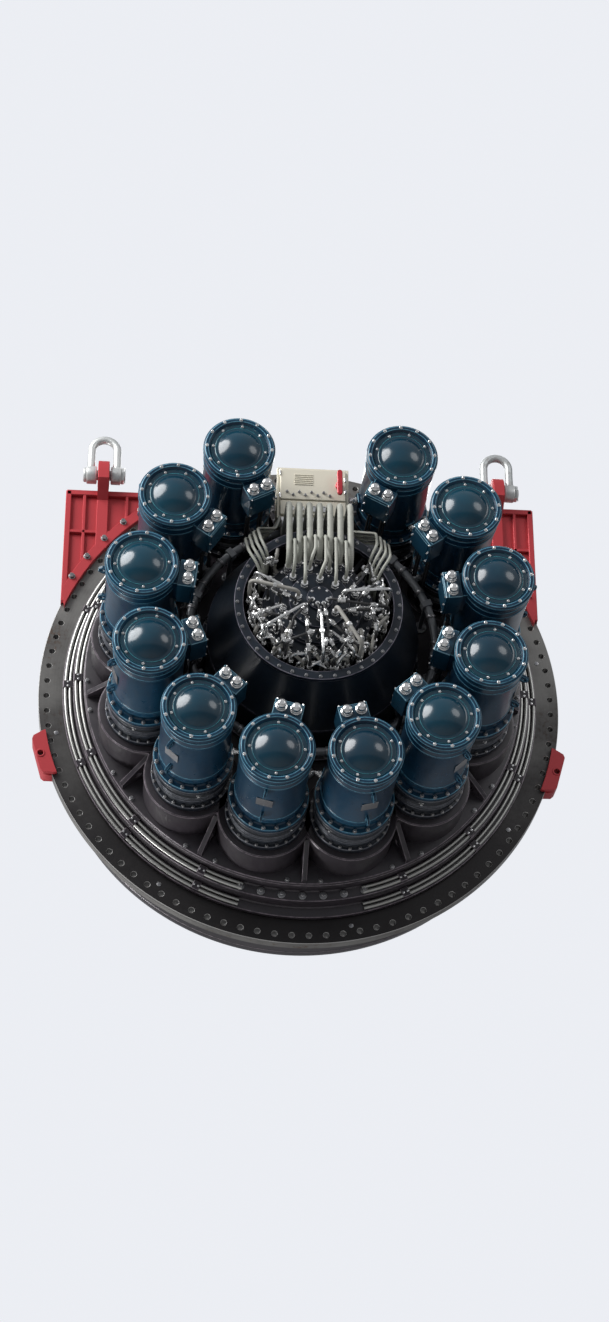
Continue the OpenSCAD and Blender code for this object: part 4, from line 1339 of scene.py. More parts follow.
@dataclass
class CentreDrum(SubAssembly):
    """The drum through the middle of the case, its cone and the plates that close it."""

    outer_r: float = 0.9302
    wall: float = 0.045
    front: float = -0.54
    cone_start: float = 1.35
    mouth_r: float = 0.6902
    mouth_at: float = 1.9
    rim_w: float = 0.034
    rim_l: float = 0.05
    seat_w: float = 0.06

    def build(self) -> None:
        """Makes the drum, the cone with its rim, the plates and their bolts."""
        out, inn, seat = self.outer_r, self.outer_r - self.wall, LAYOUT.wall_rear
        ledge, start = out + self.seat_w, self.cone_start
        section = [(out, self.front), (out, seat), (ledge, seat), (ledge, seat + 0.05),
                   (out + 0.012, seat + 0.05), (out, seat + 0.062), (out, start - 0.012),
                   (out, start), (inn, start), (inn, self.front)]
        self.piece("drum_shell", Shell().lathe(section, 0.005, 160, shut=True),
                   DRUM_DARK, "drum_neck", "centre_drum")
        mouth, end, wall = self.mouth_r, self.mouth_at, self.wall
        rim, rear = mouth + self.rim_w, end + self.rim_l
        cone = [(out, start), (out, start + 0.02), (mouth + 0.012, end - 0.02), (rim, end),
                (rim, rear), (mouth - wall, rear), (mouth - wall, end), (inn, start)]
        self.piece(
            "drum_cone", Shell().lathe(cone, 0.006, 160, shut=True), DRUM_DARK, "drum_mouth")
        self.bolts("drum_seat_bolts", 0.02, seat + 0.05, Around(48, out + 0.034, 0.04))
        self.bolts("drum_rim_bolts", 0.012, rear, Around(36, mouth + 0.006, 0.02))
        gusset = Shell().plate([(0, 0), (0.075, 0), (0, 0.2)], -0.009, 0.009, 0.002,
                               Facing.SIDE.at(out - 0.004, -(seat + 0.049), 0))
        self.piece("drum_gussets", gusset, DRUM_DARK, LAYOUT.ribs)
        plate = Shell().ring(inn - 0.0005, 0.2702, 1.28, 1.33, 0.004, 120)
        plate.ring(0.62, 0.44, 1.328, 1.342, 0.003, 120)
        self.piece("drum_rear_plate", plate, DRUM_DARK, "drum_plate")
        self.bolts("drum_plate_bolts", 0.015, 1.33, Around(32, 0.8, 0.05))
        head = Shell().ring(inn - 0.0005, 0.195, -0.44, -0.39, 0.004, 120)
        head.ring(0.4, 0.2, -0.456, -0.438, 0.003, 96)
        self.piece("drum_bulkhead", head, DRUM_DARK, "centre_bulkhead")
        hatch = Shell().disc(0.13, 0.438, 0.462, 0.003, 48, FORWARD)
        hatch.disc(0.02, 0.46, 0.485, 0.003, 20, FORWARD)
        self.piece("bulkhead_hatches", hatch, CASE_BLACK, Around(4, 0.64, pi / 4))
        self.bolts("bulkhead_bolts", 0.014, 0.44, Around(28, 0.845, 0.05), turn=FORWARD)
        self.bolts("bulkhead_neck_bolts", 0.014, 0.456, Around(16, 0.36, 0.1), turn=FORWARD)
        seal = Shell().ring(1.0003, inn, -0.58, self.front, 0.004, 160)
        self.piece("inner_seal", seal, RING_STEEL, "inner_seal_ring")
        self.bolts("inner_seal_bolts", 0.014, 0.58, Around(48, 0.945, 0.02), turn=FORWARD)


@dataclass
class GearUnits(SubAssembly):
    """The planetary gearboxes and the cover over the empty place."""

    flange_r: float = 0.352
    barrel_r: float = 0.322
    adapter_r: float = 0.348
    seat: float = 0.921

    def build(self) -> None:
        """Makes the gearboxes with their bolts and plugs, and the cover."""
        f, b, a, s, e = (self.flange_r, self.barrel_r, self.adapter_r, LAYOUT.case_rear, self.seat)
        section = [(0, s - 0.02), (0.296, s - 0.02), (0.296, s), (f, s), (f, e - 0.003),
                   (f - 0.004, e), (b + 0.002, e), (b - 0.002, e + 0.013), (b - 0.002, 1.0)]
        for fin in (1.008, 1.044):
            section += [(b + 0.014, fin), (b + 0.014, fin + 0.022), (b + 0.004, fin + 0.026),
                        (b + 0.004, fin + 0.032)]
        section += [
            (b + 0.014, 1.08), (b + 0.014, 1.092), (b - 0.002, 1.1), (b - 0.002, 1.16),
            (a - 0.004, 1.18), (a, 1.184), (a, LAYOUT.adapter_end), (0, LAYOUT.adapter_end)]
        self.piece(
            "gearbox_bodies", Shell().lathe(section, 0.0035, 72), GEAR_GREY, MOTORS, "gearboxes")
        self.bolts("gearbox_flange_bolts", 0.0125, e, Around(24, 0.3375), MOTORS)
        plug = Shell()
        for spin in (-0.9, 0.9):
            turn = about(spin) @ Facing.RIGHT.at(y=-1.13)
            plug.disc(0.022, b - 0.01, b + 0.006, 0.002, 20, turn)
            plug.bolt(0.013, b + 0.004, turn)
        self.piece("gearbox_plugs", plug, BRIGHT_STEEL, MOTORS)
        cover = Shell().disc(f, s, s + 0.04, 0.005, 84)
        cover.disc(0.285, s + 0.038, s + 0.046, 0.003, 84)
        self.piece("blank_plate", cover, CASE_BLACK, LAYOUT.top, "blank_cover")
        self.bolts("blank_plate_bolts", 0.0135, s + 0.04, Around(20, 0.325, 0.05), LAYOUT.top)


@dataclass
class Motors(SubAssembly):
    """The twelve water-cooled motors with their boxes, plugs and cables."""

    foot_r: float = 0.342
    jacket_r: float = 0.3
    shield_r: float = 0.314
    dome_r: float = 0.196
    dome_h: float = 0.084
    dish_at: float = 2.192
    box_inner: float = -0.464
    box_outer: float = -0.32
    box_half: float = 0.125
    box_front: float = 1.84
    box_rear: float = 2.14
    gland_z: Sizes = (-0.095, -0.062, 0.062, 0.095)

    def _body(self) -> Shell:
        """Makes a motor's frame on the axis, with its outer side towards +X.

        Returns:
            Its shell.
        """
        s, e, end = LAYOUT.adapter_end, LAYOUT.motor_end, LAYOUT.shield_end
        foot, j, k, dish = self.foot_r, self.jacket_r, self.shield_r, self.dish_at
        section = [(0, s + 0.001), (foot, s + 0.001), (foot, s + 0.038), (foot - 0.004, s + 0.041),
                   (j, s + 0.041), (j - 0.01, s + 0.055), (j - 0.01, s + 0.098), (j, s + 0.106)]
        for band in (s + 0.165, e - 0.15):
            section += [
                (j, band), (j + 0.005, band + 0.005), (j + 0.005, band + 0.027), (j, band + 0.032)]
        section += [
            (j, e - 0.056), (j - 0.01, e - 0.05), (j - 0.01, e - 0.004), (k, e),
            (k, e + 0.044), (k - 0.018, end), (k - 0.046, end), (k - 0.066, dish), (0, dish)]
        shell = Shell().lathe(section, 0.004, 80)
        shell.block((-j - 0.034, -self.box_rear + 0.015, -0.11),
                    (-j + 0.08, -self.box_front - 0.015, 0.11), 0.005)
        eye = [(0, -0.05), (0.045, -0.05), (0.078, -0.022), (0.078, 0.022), (0.045, 0.05),
               (0, 0.05)]
        for y in (-1.5, -1.98):
            shell.holed(eye, (0.042, 0), 0.019, -0.012, 0.012, 0.003, Facing.SIDE.at(j - 0.01, y))
        for spin in (-2.15, 2.15):
            shell.block((j - 0.02, -1.52, -0.045), (j + 0.018, -1.42, 0.045), 0.004, about(spin))
        return shell

    def build(self) -> None:
        """Makes the motors and everything that is bolted to them."""
        body = self._body().mesh("motor_frame")
        for number in range(1, LAYOUT.units):
            name = f"motor_{number:02d}"
            mesh = body.copy()
            mesh.transform(about(-LAYOUT.angle(number)) @ shift(LAYOUT.unit_ring))
            self.piece(f"{name}_frame", mesh, MOTOR_PETROL, name)
        self._end_details()
        self._boxes()
        self._cables()

    def _end_details(self) -> None:
        """Makes the domed covers, the bolts and the cooling stubs."""
        ball = (self.dome_r ** 2 + self.dome_h ** 2) / (2 * self.dome_h)
        top = self.dish_at + self.dome_h
        swing = asin(self.dome_r / ball)
        dome = [(ball * sin(swing * k / 10), top - ball + ball * cos(swing * k / 10))
                for k in range(11)]
        seat, rim, lip = self.dish_at - 0.002, self.dish_at + 0.006, self.dish_at + 0.011
        dome = [(0, top), *dome[1:10], (self.dome_r, lip), (0.208, lip), (0.214, rim),
                (0.246, rim), (0.246, seat), (0, seat)]
        self.piece("motor_domes", Shell().lathe(dome, 0.002, 64), DOME_TEAL, MOTORS)
        self.bolts("motor_dome_bolts", 0.009, rim, Around(8, 0.229, 0.2), MOTORS,
                   steel=BRIGHT_STEEL)
        self.bolts("motor_shield_bolts", 0.0115, LAYOUT.shield_end, Around(12, 0.2825),
                   MOTORS, steel=BRIGHT_STEEL)
        self.bolts("motor_foot_bolts", 0.015, LAYOUT.adapter_end + 0.041,
                   Around(18, 0.3215, 0.1), MOTORS)
        stub = Shell()
        for spin in (-2.15, 2.15):
            turn = about(spin) @ Facing.RIGHT.at(y=-1.47)
            stub.disc(0.024, 0.31, 0.336, 0.003, 24, turn)
            stub.bolt(0.026, 0.33, turn, 0.5)
            stub.disc(0.015, 0.35, 0.385, 0.002, 20, turn)
        self.piece("motor_water_stubs", stub, BRIGHT_STEEL, MOTORS)
        plate = Shell().block((0.2985, -1.8, -0.07), (0.3035, -1.68, 0.07), 0.001)
        self.piece("motor_bare_plates", plate, BOLT_STEEL, MOTORS)

    def _boxes(self) -> None:
        """Makes the terminal boxes and the plugged connectors behind them."""
        x0, x1, h, front, end = (
            self.box_inner, self.box_outer, self.box_half, self.box_front, self.box_rear)
        box = Shell().block((x0 + 0.024, -end, -h), (x1, -front, h), 0.006)
        box.block((x0, -end, -h), (x0 + 0.021, -front, h), 0.005)
        box.block((x0 - 0.004, -end + 0.03, -h + 0.03), (x0 + 0.004, -front - 0.03, h - 0.03))
        self.piece("terminal_box_set", box, BOX_PETROL, MOTORS, "terminal_boxes")
        screws = Shell()
        for y in (0.016 - end, -(end + front) / 2, -front - 0.016):
            for z in (-h + 0.015, h - 0.015):
                screws.bolt(0.008, -x0, shift(0, y, z) @ about(-pi / 2, "Z"))
        self.piece("terminal_box_screws", screws, BRIGHT_STEEL, MOTORS)
        plugs = Shell()
        section = [(r, end + s) for r, s in (
            (0, -0.002), (0.05, -0.002), (0.05, 0.014), (0.04, 0.018), (0.04, 0.03),
            (0.034, 0.033), (0.034, 0.04), (0.04, 0.043), (0.04, 0.07), (0.032, 0.08),
            (0.02, 0.088), (0, 0.088))]
        for z in (-0.0625, 0.0625):
            at = shift(-0.399, z=z)
            plugs.lathe(section, 0.002, 32, at)
            for k in range(4):
                turn = about(radians(45 + 90 * k))
                plugs.bolt(0.0045, end + 0.014, at @ turn @ shift(0.044))
        self.piece("connector_set", plugs, BRIGHT_STEEL, MOTORS, "motor_connectors")
        glands = Shell()
        for z in self.gland_z:
            turn = Facing.FRONT.at(-0.405, z=z)
            glands.disc(0.019, -front - 0.002, 0.012 - front, 0.002, 6, turn)
            glands.disc(0.015, 0.01 - front, 0.034 - front, 0.003, 16, turn)
        self.piece("terminal_box_glands", glands, BRIGHT_STEEL, MOTORS)

    def _cables(self) -> None:
        """Makes the cables from the boxes to the case, and the water hoses."""
        runs = [[(-0.405, -1.825, z), (-0.405, -1.74, z), (-0.366, -1.66, z * 0.8),
                 (-0.366, -0.845, z * 0.8)] for z in self.gland_z]
        self.pipes("motor_cables", runs, HOSE_BLACK, Pipe(0.011, 0.05, 10, 4), MOTORS)
        link = [[(-0.352, -1.29, 0), (-0.286, -1.29, 0)]]
        self.pipes("motor_water_links", link, HOSE_BLACK, Pipe(0.018, 0.01, 14, 2), MOTORS)


@dataclass
class GreaseCabinet(SubAssembly):
    """The cabinet over the empty place, its stand, valve and hoses."""

    half_w: float = 0.31
    low: float = 1.1603
    height: float = 0.5
    front: float = 1.0
    rear: float = 1.44
    lip: float = 0.0138
    split: float = 0.165
    hose_r: float = 0.027
    hose_pitch: float = 0.088
    hoses: int = 7
    foot_ring: float = 0.4298
    hose_start: float = 1.915
    hose_back: float = 2.09
    hose_over: float = 0.9302
    hose_rise: float = 1.39

    def foot(self, x: float) -> float:
        """Gives the height of a hose's fitting by its distance from the middle."""
        return sqrt(self.foot_ring ** 2 - x * x)

    def across(self) -> list[float]:
        """Gives the hoses' distances from the middle."""
        return [(i - (self.hoses - 1) / 2) * self.hose_pitch for i in range(self.hoses)]

    def build(self) -> None:
        """Makes the stand, the cabinet, the valve and the hoses."""
        w, z0, z1, lip, rear = self.half_w, self.low, self.low + self.height, self.lip, self.rear
        box = Shell().block((-w, -rear + 0.055, z0), (w, -self.front, z1), 0.006)
        for left, right, low, high in (
                (-w - lip, w + lip, z0 - lip, z0 + 0.012),
                (-w - lip, w + lip, z1 - 0.012, z1 + lip),
                (-w - lip, -w + 0.012, z0 + 0.008, z1 - 0.008),
                (w - 0.012, w + lip, z0 + 0.008, z1 - 0.008)):
            box.block((left, -rear + 0.03, low), (right, -rear + 0.07, high))
        split = z0 + self.split
        box.block((-w + 0.014, -rear, split + 0.004), (w - 0.014, -rear + 0.06, z1 - 0.014), 0.006)
        box.block((-w + 0.014, -rear + 0.006, z0 + 0.014),
                  (w - 0.014, -rear + 0.06, split - 0.004), 0.004)
        self.piece("cabinet_body", box, CABINET_CREAM, "grease_cabinet")
        self._fittings()
        rails = Shell()
        base, top = z0 + 0.03, z1 - 0.03
        for x in (-w * 2 / 3, w * 2 / 3):
            for left, right, low, high in (
                    (-0.03, -0.018, base, top), (0.018, 0.03, base, top),
                    (-0.02, 0.02, base, base + 0.012), (-0.02, 0.02, top - 0.012, top)):
                rails.block((x + left, -self.front, low), (x + right, -0.9, high), 0.002)
        self.piece("cabinet_rails", rails, CASE_BLACK, "cabinet_stand")
        self._valve()
        self._hoses()

    def _fittings(self) -> None:
        """Makes the hinges, latches, louvres and gland nuts."""
        z0, z1, split = self.low, self.low + self.height, self.low + self.split
        w, rear, end = self.half_w, self.rear, z0 - self.lip
        small = Shell()
        for z in (split + 0.04, z1 - 0.06):
            small.disc(0.009, -0.025, 0.025, 0.002, 16, Facing.UP.at(-w + 0.01, -rear - 0.004, z))
        for z in (split + 0.1, split + 0.22):
            small.block(
                (w - 0.03, -rear - 0.016, z - 0.02), (w - 0.01, -rear + 0.002, z + 0.02), 0.004)
        for x in self.across():
            turn = Facing.UP.at(x, -self.hose_rise)
            small.disc(0.04, end - 0.028, end + 0.002, 0.003, 6, turn)
            small.disc(0.034, end - 0.09, end - 0.024, 0.004, 24, turn)
        for x in (-0.2, -0.11, 0.01, 0.1):
            at = shift(x, z=z0 + 0.075)
            small.ring(0.03, 0.024, rear - 0.008, rear + 0.006, 0.002, 32, at)
            small.disc(0.025, rear - 0.008, rear + 0.001, 0.001, 32, at)
        self.piece("cabinet_hardware", small, BRIGHT_STEEL)
        knobs = Shell()
        for i in range(8):
            at = shift(-0.235 + 0.055 * i, z=z1 - 0.255 - 0.03 * (i % 2))
            knobs.disc(0.013, rear - 0.004, rear + 0.012, 0.002, 20, at)
            knobs.disc(0.008, rear + 0.01, rear + 0.024, 0.002, 12, at)
        self.piece("cabinet_knobs", knobs, BOLT_STEEL)
        slats = Shell()
        for i in range(6):
            z = z1 - 0.075 - i * 0.02
            slats.block((-0.17, -rear - 0.006, z - 0.005), (0, -rear + 0.002, z + 0.005))
        for x in (-w, w):
            for i in range(9):
                z = z0 + 0.12 + i * 0.028
                slats.block((x - 0.006, -1.3, z - 0.007), (x + 0.006, -1.1, z + 0.007), 0.004)
        self.piece("cabinet_louvres", slats, CABINET_CREAM)

    def _valve(self) -> None:
        """Makes the red shut-off valve on the door."""
        at = shift(self.half_w - 0.075, z=self.low + self.height - 0.18)
        section = [(r, self.rear + s) for r, s in (
            (0, -0.004), (0.034, -0.004), (0.034, 0.014), (0.024, 0.018), (0.024, 0.04),
            (0.03, 0.046), (0.03, 0.06), (0.014, 0.07), (0, 0.07))]
        lever = arc(0.024, 0, pi, 8, (0, 0.106)) + arc(0.024, pi, TURN, 8, (0, -0.106))
        body = Shell().lathe(section, 0.003, 36, at)
        body.plate(lever, self.rear + 0.06, self.rear + 0.086, 0.005, at)
        self.piece("valve_lever", body, VALVE_RED, "cabinet_valve")

    def _hoses(self) -> None:
        """Makes the grease hoses with their end sleeves, and the thin lines beside them."""
        end, back, over = self.low - self.lip, -self.hose_back, self.hose_over
        start = self.hose_start
        runs = [[(x, -start, self.foot(x)), (x, back, self.foot(x)), (x, back, over),
                 (x, -self.hose_rise, over), (x, -self.hose_rise, end)] for x in self.across()]
        self.pipes(
            "grease_hose_set", runs, HOSE_CREAM, Pipe(self.hose_r, 0.1, 24, 9), "grease_hoses")
        sleeves = Shell()
        for x in self.across():
            at = shift(x, z=self.foot(x))
            sleeves.disc(0.036, start, start + 0.03, 0.003, 6, at)
            sleeves.disc(0.031, start + 0.025, start + 0.075, 0.003, 24, at)
        self.piece("grease_hose_sleeves", sleeves, BRIGHT_STEEL)
        thin = []
        for side in (-1, 1):
            for i in range(4):
                out, y = 0.036 * i, -1.425 + 0.03 * i
                thin.append([
                    (side * 0.3, y, end), (side * (0.335 + out), -1.47, 1.0 - out),
                    (side * (0.52 + out), -1.8, 0.8 - out),
                    (side * (0.5 + out), -2.02 - out * 0.5, 0.56 - 1.4 * out),
                    (side * (0.43 + out * 0.6), -2.03 - out * 0.5, 0.4 - 1.6 * out),
                    (side * (0.44 + out * 0.6), -1.66, 0.37 - 1.6 * out)])
        self.pipes("grease_lines", thin, HOSE_CREAM, Pipe(0.013, 0.17, 12, 9))


@dataclass
class RotaryUnion(SubAssembly):
    """The rotary union in the drum's mouth, with its dense fittings and pipes."""

    foot_r: float = 0.4197
    barrel_r: float = 0.33
    disc_r: Sizes = (0.4797, 0.3799, 0.26)
    disc_end: Sizes = (1.86, 1.955, 2.015)
    disc_front: float = 1.69
    cap_r: float = 0.11
    cap_end: float = 2.055
    nose_front: float = -0.78
    nose_rear: float = -0.72
    fitting_l: float = 0.062
    ports: int = 20
    port_at: Sizes = (1.713, 1.77, 1.827)
    manifold_r: float = 0.575
    manifold_at: float = 1.6
    seed: int = 11

    def build(self) -> None:
        """Makes the union's fixed half, its turning shaft, fittings and pipes."""
        one, two, three = self.disc_r
        e1, e2, e3 = self.disc_end
        foot, barrel, cap, groove = self.foot_r, self.barrel_r, self.cap_r, 0.007
        section = [(0, 1.945), (0.1705, 1.945), (0.1705, 1.3), (0.2696, 1.3),
                   (0.2696, 1.33), (foot, 1.33), (foot, 1.39), (barrel, 1.39)]
        for s in (1.455, 1.575):
            section += [(barrel, s), (barrel - groove, s + 0.005), (barrel - groove, s + 0.025),
                        (barrel, s + 0.03)]
        section.append((barrel, self.disc_front))
        for k in range(3):
            s = self.disc_front + 0.057 * k
            section += [
                (one, s), (one, s + 0.046), (one - groove, s + 0.05), (one - groove, s + 0.053)]
        section[-2:] = [
            (one, e1), (two, e1), (two, e1 + 0.042),
            (two - groove, e1 + 0.046), (two - groove, e1 + 0.05), (two, e1 + 0.054), (two, e2),
            (three, e2), (three, e3), (cap, e3), (cap, self.cap_end), (0, self.cap_end)]
        self.piece("union_housing", Shell().lathe(section, 0.003, 96),
                   DRUM_DARK, "union_foot", "union_barrel", "rotary_union")
        self.bolts("union_foot_bolts", 0.015, 1.39, Around(24, 0.385))
        for name, size, station, count, radius in (
                ("union_face_bolts_1", 0.01, e1, 28, one - 0.02),
                ("union_face_bolts_2", 0.008, e2, 24, two - 0.014),
                ("union_face_bolts_3", 0.007, e3, 16, three - 0.012),
                ("union_cap_bolts", 0.008, self.cap_end, 8, cap - 0.018)):
            self.bolts(name, size, station, Around(count, radius, 0.07), steel=BRIGHT_STEEL)
        ports = Shell()
        for station in self.port_at:
            turn = Facing.RIGHT.at(y=-station)
            ports.disc(0.02, one - 0.01, one + 0.006, 0.002, 16, turn)
            ports.bolt(0.013, one + 0.004, turn)
        self.piece("union_ports_set", ports, BRIGHT_STEEL, Around(self.ports, 0, 0.15))
        self._fittings()
        self._shaft()

    def _spots(self) -> list[Point]:
        """Gives the places of all fittings but the grease hoses'.

        Returns:
            Radius, angle and station of each.
        """
        one, two, three = self.disc_r
        e1, e2, e3 = self.disc_end
        lower = [radians(270 + (i / 7 - 0.5) * 160) for i in range(8)]
        return ([((one + two) / 2, a, e1) for a in lower]
                + [((two + three) / 2, radians(15 + 30 * i), e2) for i in range(12)]
                + [((three + self.cap_r) / 2, radians(45 * i), e3) for i in range(8)])

    def _fittings(self) -> None:
        """Makes the fittings and the pipes that fan out of them into the drum."""
        draw = random.Random(self.seed)
        nuts = Shell()
        cabinet = GreaseCabinet()
        feet = [(hypot(x, cabinet.foot(x)), atan2(cabinet.foot(x), x), self.disc_end[0])
                for x in cabinet.across()]
        for radius, angle, station in feet + self._spots():
            at = shift(*spot(radius, angle, 0)) @ about(draw.uniform(0, 1.0))
            nuts.disc(0.033, station - 0.002, station + 0.02, 0.003, 6, at)
            nuts.disc(0.025, station + 0.018, station + 0.03, 0.002, 20, at)
            nuts.disc(0.032, station + 0.029, station + self.fitting_l, 0.004, 6, at)
        steel, hoses, arches = [], [], []
        for number, (radius, angle, station) in enumerate(self._spots()):
            out = station + self.fitting_l
            if sin(angle) > 0.55 and radius > 0.15:
                arches.append(spot(radius, angle, out))
                continue
            rise = out + draw.uniform(0.035, 0.075) + (0.05 if radius < 0.2 else 0.0)
            far = draw.uniform(0.545, 0.605)
            lean = angle + draw.uniform(-0.3, 0.3)
            if sin(lean) > 0.45:
                lean = pi - asin(0.42) if cos(lean) < 0 else asin(0.42)
            run = [spot(radius, angle, out - 0.004), spot(radius, angle, rise),
                   spot(far, lean, rise - draw.uniform(-0.02, 0.03)),
                   spot(far, lean, draw.uniform(1.5, 1.62))]
            (steel if number % 3 else hoses).append(run)
            nuts.disc(0.021, out - 0.002, out + 0.016, 0.003, 20, shift(*spot(radius, angle, 0)))
            nuts.disc(0.024, -0.016, 0.016, 0.003, 6, along(run[1], run[2], 0.5))
        self._crossings(draw, nuts)
        self._arches(arches, nuts)
        self.piece("union_fitting_set", nuts, BRIGHT_STEEL, "union_fittings")
        self.pipes("union_pipes", steel, BRIGHT_STEEL, Pipe(0.0135, 0.04, 12, 5))
        self.pipes("union_hoses", hoses, HOSE_GREY, Pipe(0.017, 0.05, 14, 6))
        self.pipes("union_manifold", [hoop(self.manifold_r, self.manifold_at, 48)],
                   PIPE_DARK, Pipe(0.034, 0.3, 16, 1), shut=True)
        arm = Shell().block((0.6, -1.622, -0.022), (0.776, -1.578, 0.022), 0.004)
        self.piece("union_manifold_arms", arm, PIPE_DARK, Around(8, 0, 0.2))
        self._loops(draw)

    def _crossings(self, draw: random.Random, nuts: Shell) -> None:
        """Makes the black hoses that cross over the discs, with their bright nuts.

        Args:
            draw: the source of their unevenness.
            nuts: the shell that takes the nuts.
        """
        runs = []
        feet = [*zip((0.44, 0.335, 0.215), self.disc_end), (0.07, self.cap_end)]
        for k in range(19):
            angle = radians(172 + k * 11 + draw.uniform(-3, 3))
            radius, face = feet[k % 4]
            swing = draw.choice((-1, 1)) * draw.uniform(0.25, 0.65)
            rise = max(face + 0.05, draw.uniform(2.0, 2.14))
            far = draw.uniform(0.56, 0.6)
            run = [
                spot(radius, angle, face), spot(radius, angle, rise),
                spot((radius + far) / 2, angle + swing * 0.6, rise + 0.02),
                spot(far, angle + swing, rise - 0.06), spot(far, angle + swing, self.manifold_at)]
            runs.append(run)
            for first, last, share in ((1, 2, 0.45), (2, 3, 0.5), (4, 3, 0.7)):
                nuts.nut(0.022, 0.016, 0.0175, along(run[first], run[last], share))
            nuts.disc(0.021, face - 0.002, face + 0.03, 0.003, 6, shift(*spot(radius, angle, 0)))
        self.pipes("union_crossing_hoses", runs, HOSE_BLACK, Pipe(0.012, 0.06, 12, 6))

    def _arches(self, starts: Sequence[Point], nuts: Shell) -> None:
        """Makes the pale hoses that arch from the upper fittings back into the drum.

        Args:
            starts: the end of each fitting.
            nuts: the shell that takes the nuts.
        """
        runs = []
        for x, y, z in starts:
            lane = copysign(0.044 if abs(x) < 0.1 else 0.132 if abs(x) < 0.2 else 0.22, x)
            top = sqrt(self.manifold_r ** 2 - lane ** 2)
            back = 2.15 if abs(lane) > 0.1 else 2.158
            runs.append([(x, y + 0.004, z), (x, -back, z), (lane, -back, z + 0.12),
                         (lane, -back, top), (lane, -self.manifold_at, top)])
            nuts.disc(0.02, 1.84, 1.9, 0.003, 6, shift(lane, 0, top))
        self.pipes("union_arches", runs, HOSE_CREAM, Pipe(0.015, 0.07, 14, 7))

    def _loops(self, draw: random.Random) -> None:
        """Makes the lines that loop out of the first disc's ports and into the manifold.

        Args:
            draw: the source of their unevenness.
        """
        nuts, bright, dull = Shell(), [], []
        for k in range(3 * self.ports):
            station = self.port_at[k % 3]
            angle = 0.15 + TURN * (k // 3) / self.ports
            if sin(angle) > 0.88 or (k % 3 == 1 and draw.random() < 0.25):
                continue
            out = 0.545 + draw.uniform(-0.01, 0.012)
            far = 0.598 + draw.uniform(-0.012, 0.014)
            top = draw.uniform(1.89, 2.06)
            swing = draw.choice((-1, 1)) * draw.uniform(0.1, 0.3)
            run = [spot(self.disc_r[0] - 0.004, angle, station), spot(out, angle, station),
                   spot(out, angle + swing * 0.2, top), spot(far, angle + swing, top - 0.01),
                   spot(far, angle + swing, self.manifold_at)]
            (bright if draw.random() < 0.7 else dull).append(run)
            for first, last, share in ((2, 1, 0.35), (3, 4, 0.3)):
                at = Vector(run[first]).lerp(Vector(run[last]), share)
                nuts.nut(0.023, 0.018, 0.0185, shift(*at))
        self.pipes("union_loops_bright", bright, BRIGHT_STEEL, Pipe(0.0125, 0.04, 10, 5))
        self.pipes("union_loops_dull", dull, HOSE_GREY, Pipe(0.0145, 0.045, 10, 5))
        self.piece("union_loop_nuts", nuts, BRIGHT_STEEL)

    def _shaft(self) -> None:
        """Makes the turning half: the shaft and the flange that meets the cutterhead."""
        face, back = self.nose_front, self.nose_rear
        section = [(0, face)]
        for low, high, deep in ((0.12, 0.16, 0.012), (0.215, 0.285, 0.008), (0.315, 0.388, 0.024)):
            section += [(low, face), (low, face + deep), (high, face + deep), (high, face)]
        section += [(0.4, face), (0.4, back), (0.182, back), (0.17, back + 0.012),
                    (0.17, 1.935), (0, 1.935)]
        self.piece("union_turning_shaft",
                   Shell().lathe(section, 0.003, 96), RING_STEEL, "union_shaft", body=ROTOR)
        self.piece("union_nose_bolts", Shell().bolt(0.014, -face - 0.024, FORWARD),
                   BOLT_STEEL, Around(20, 0.352), body=ROTOR)
        port = Shell().lathe([(0, -face - 0.012), (0.026, -face - 0.012), (0.026, -face - 0.001),
                              (0.016, -face - 0.001), (0, -face - 0.006)], 0.001, 24, FORWARD)
        self.piece("union_nose_ports", port, BOLT_STEEL, Around(10, 0.25), body=ROTOR)


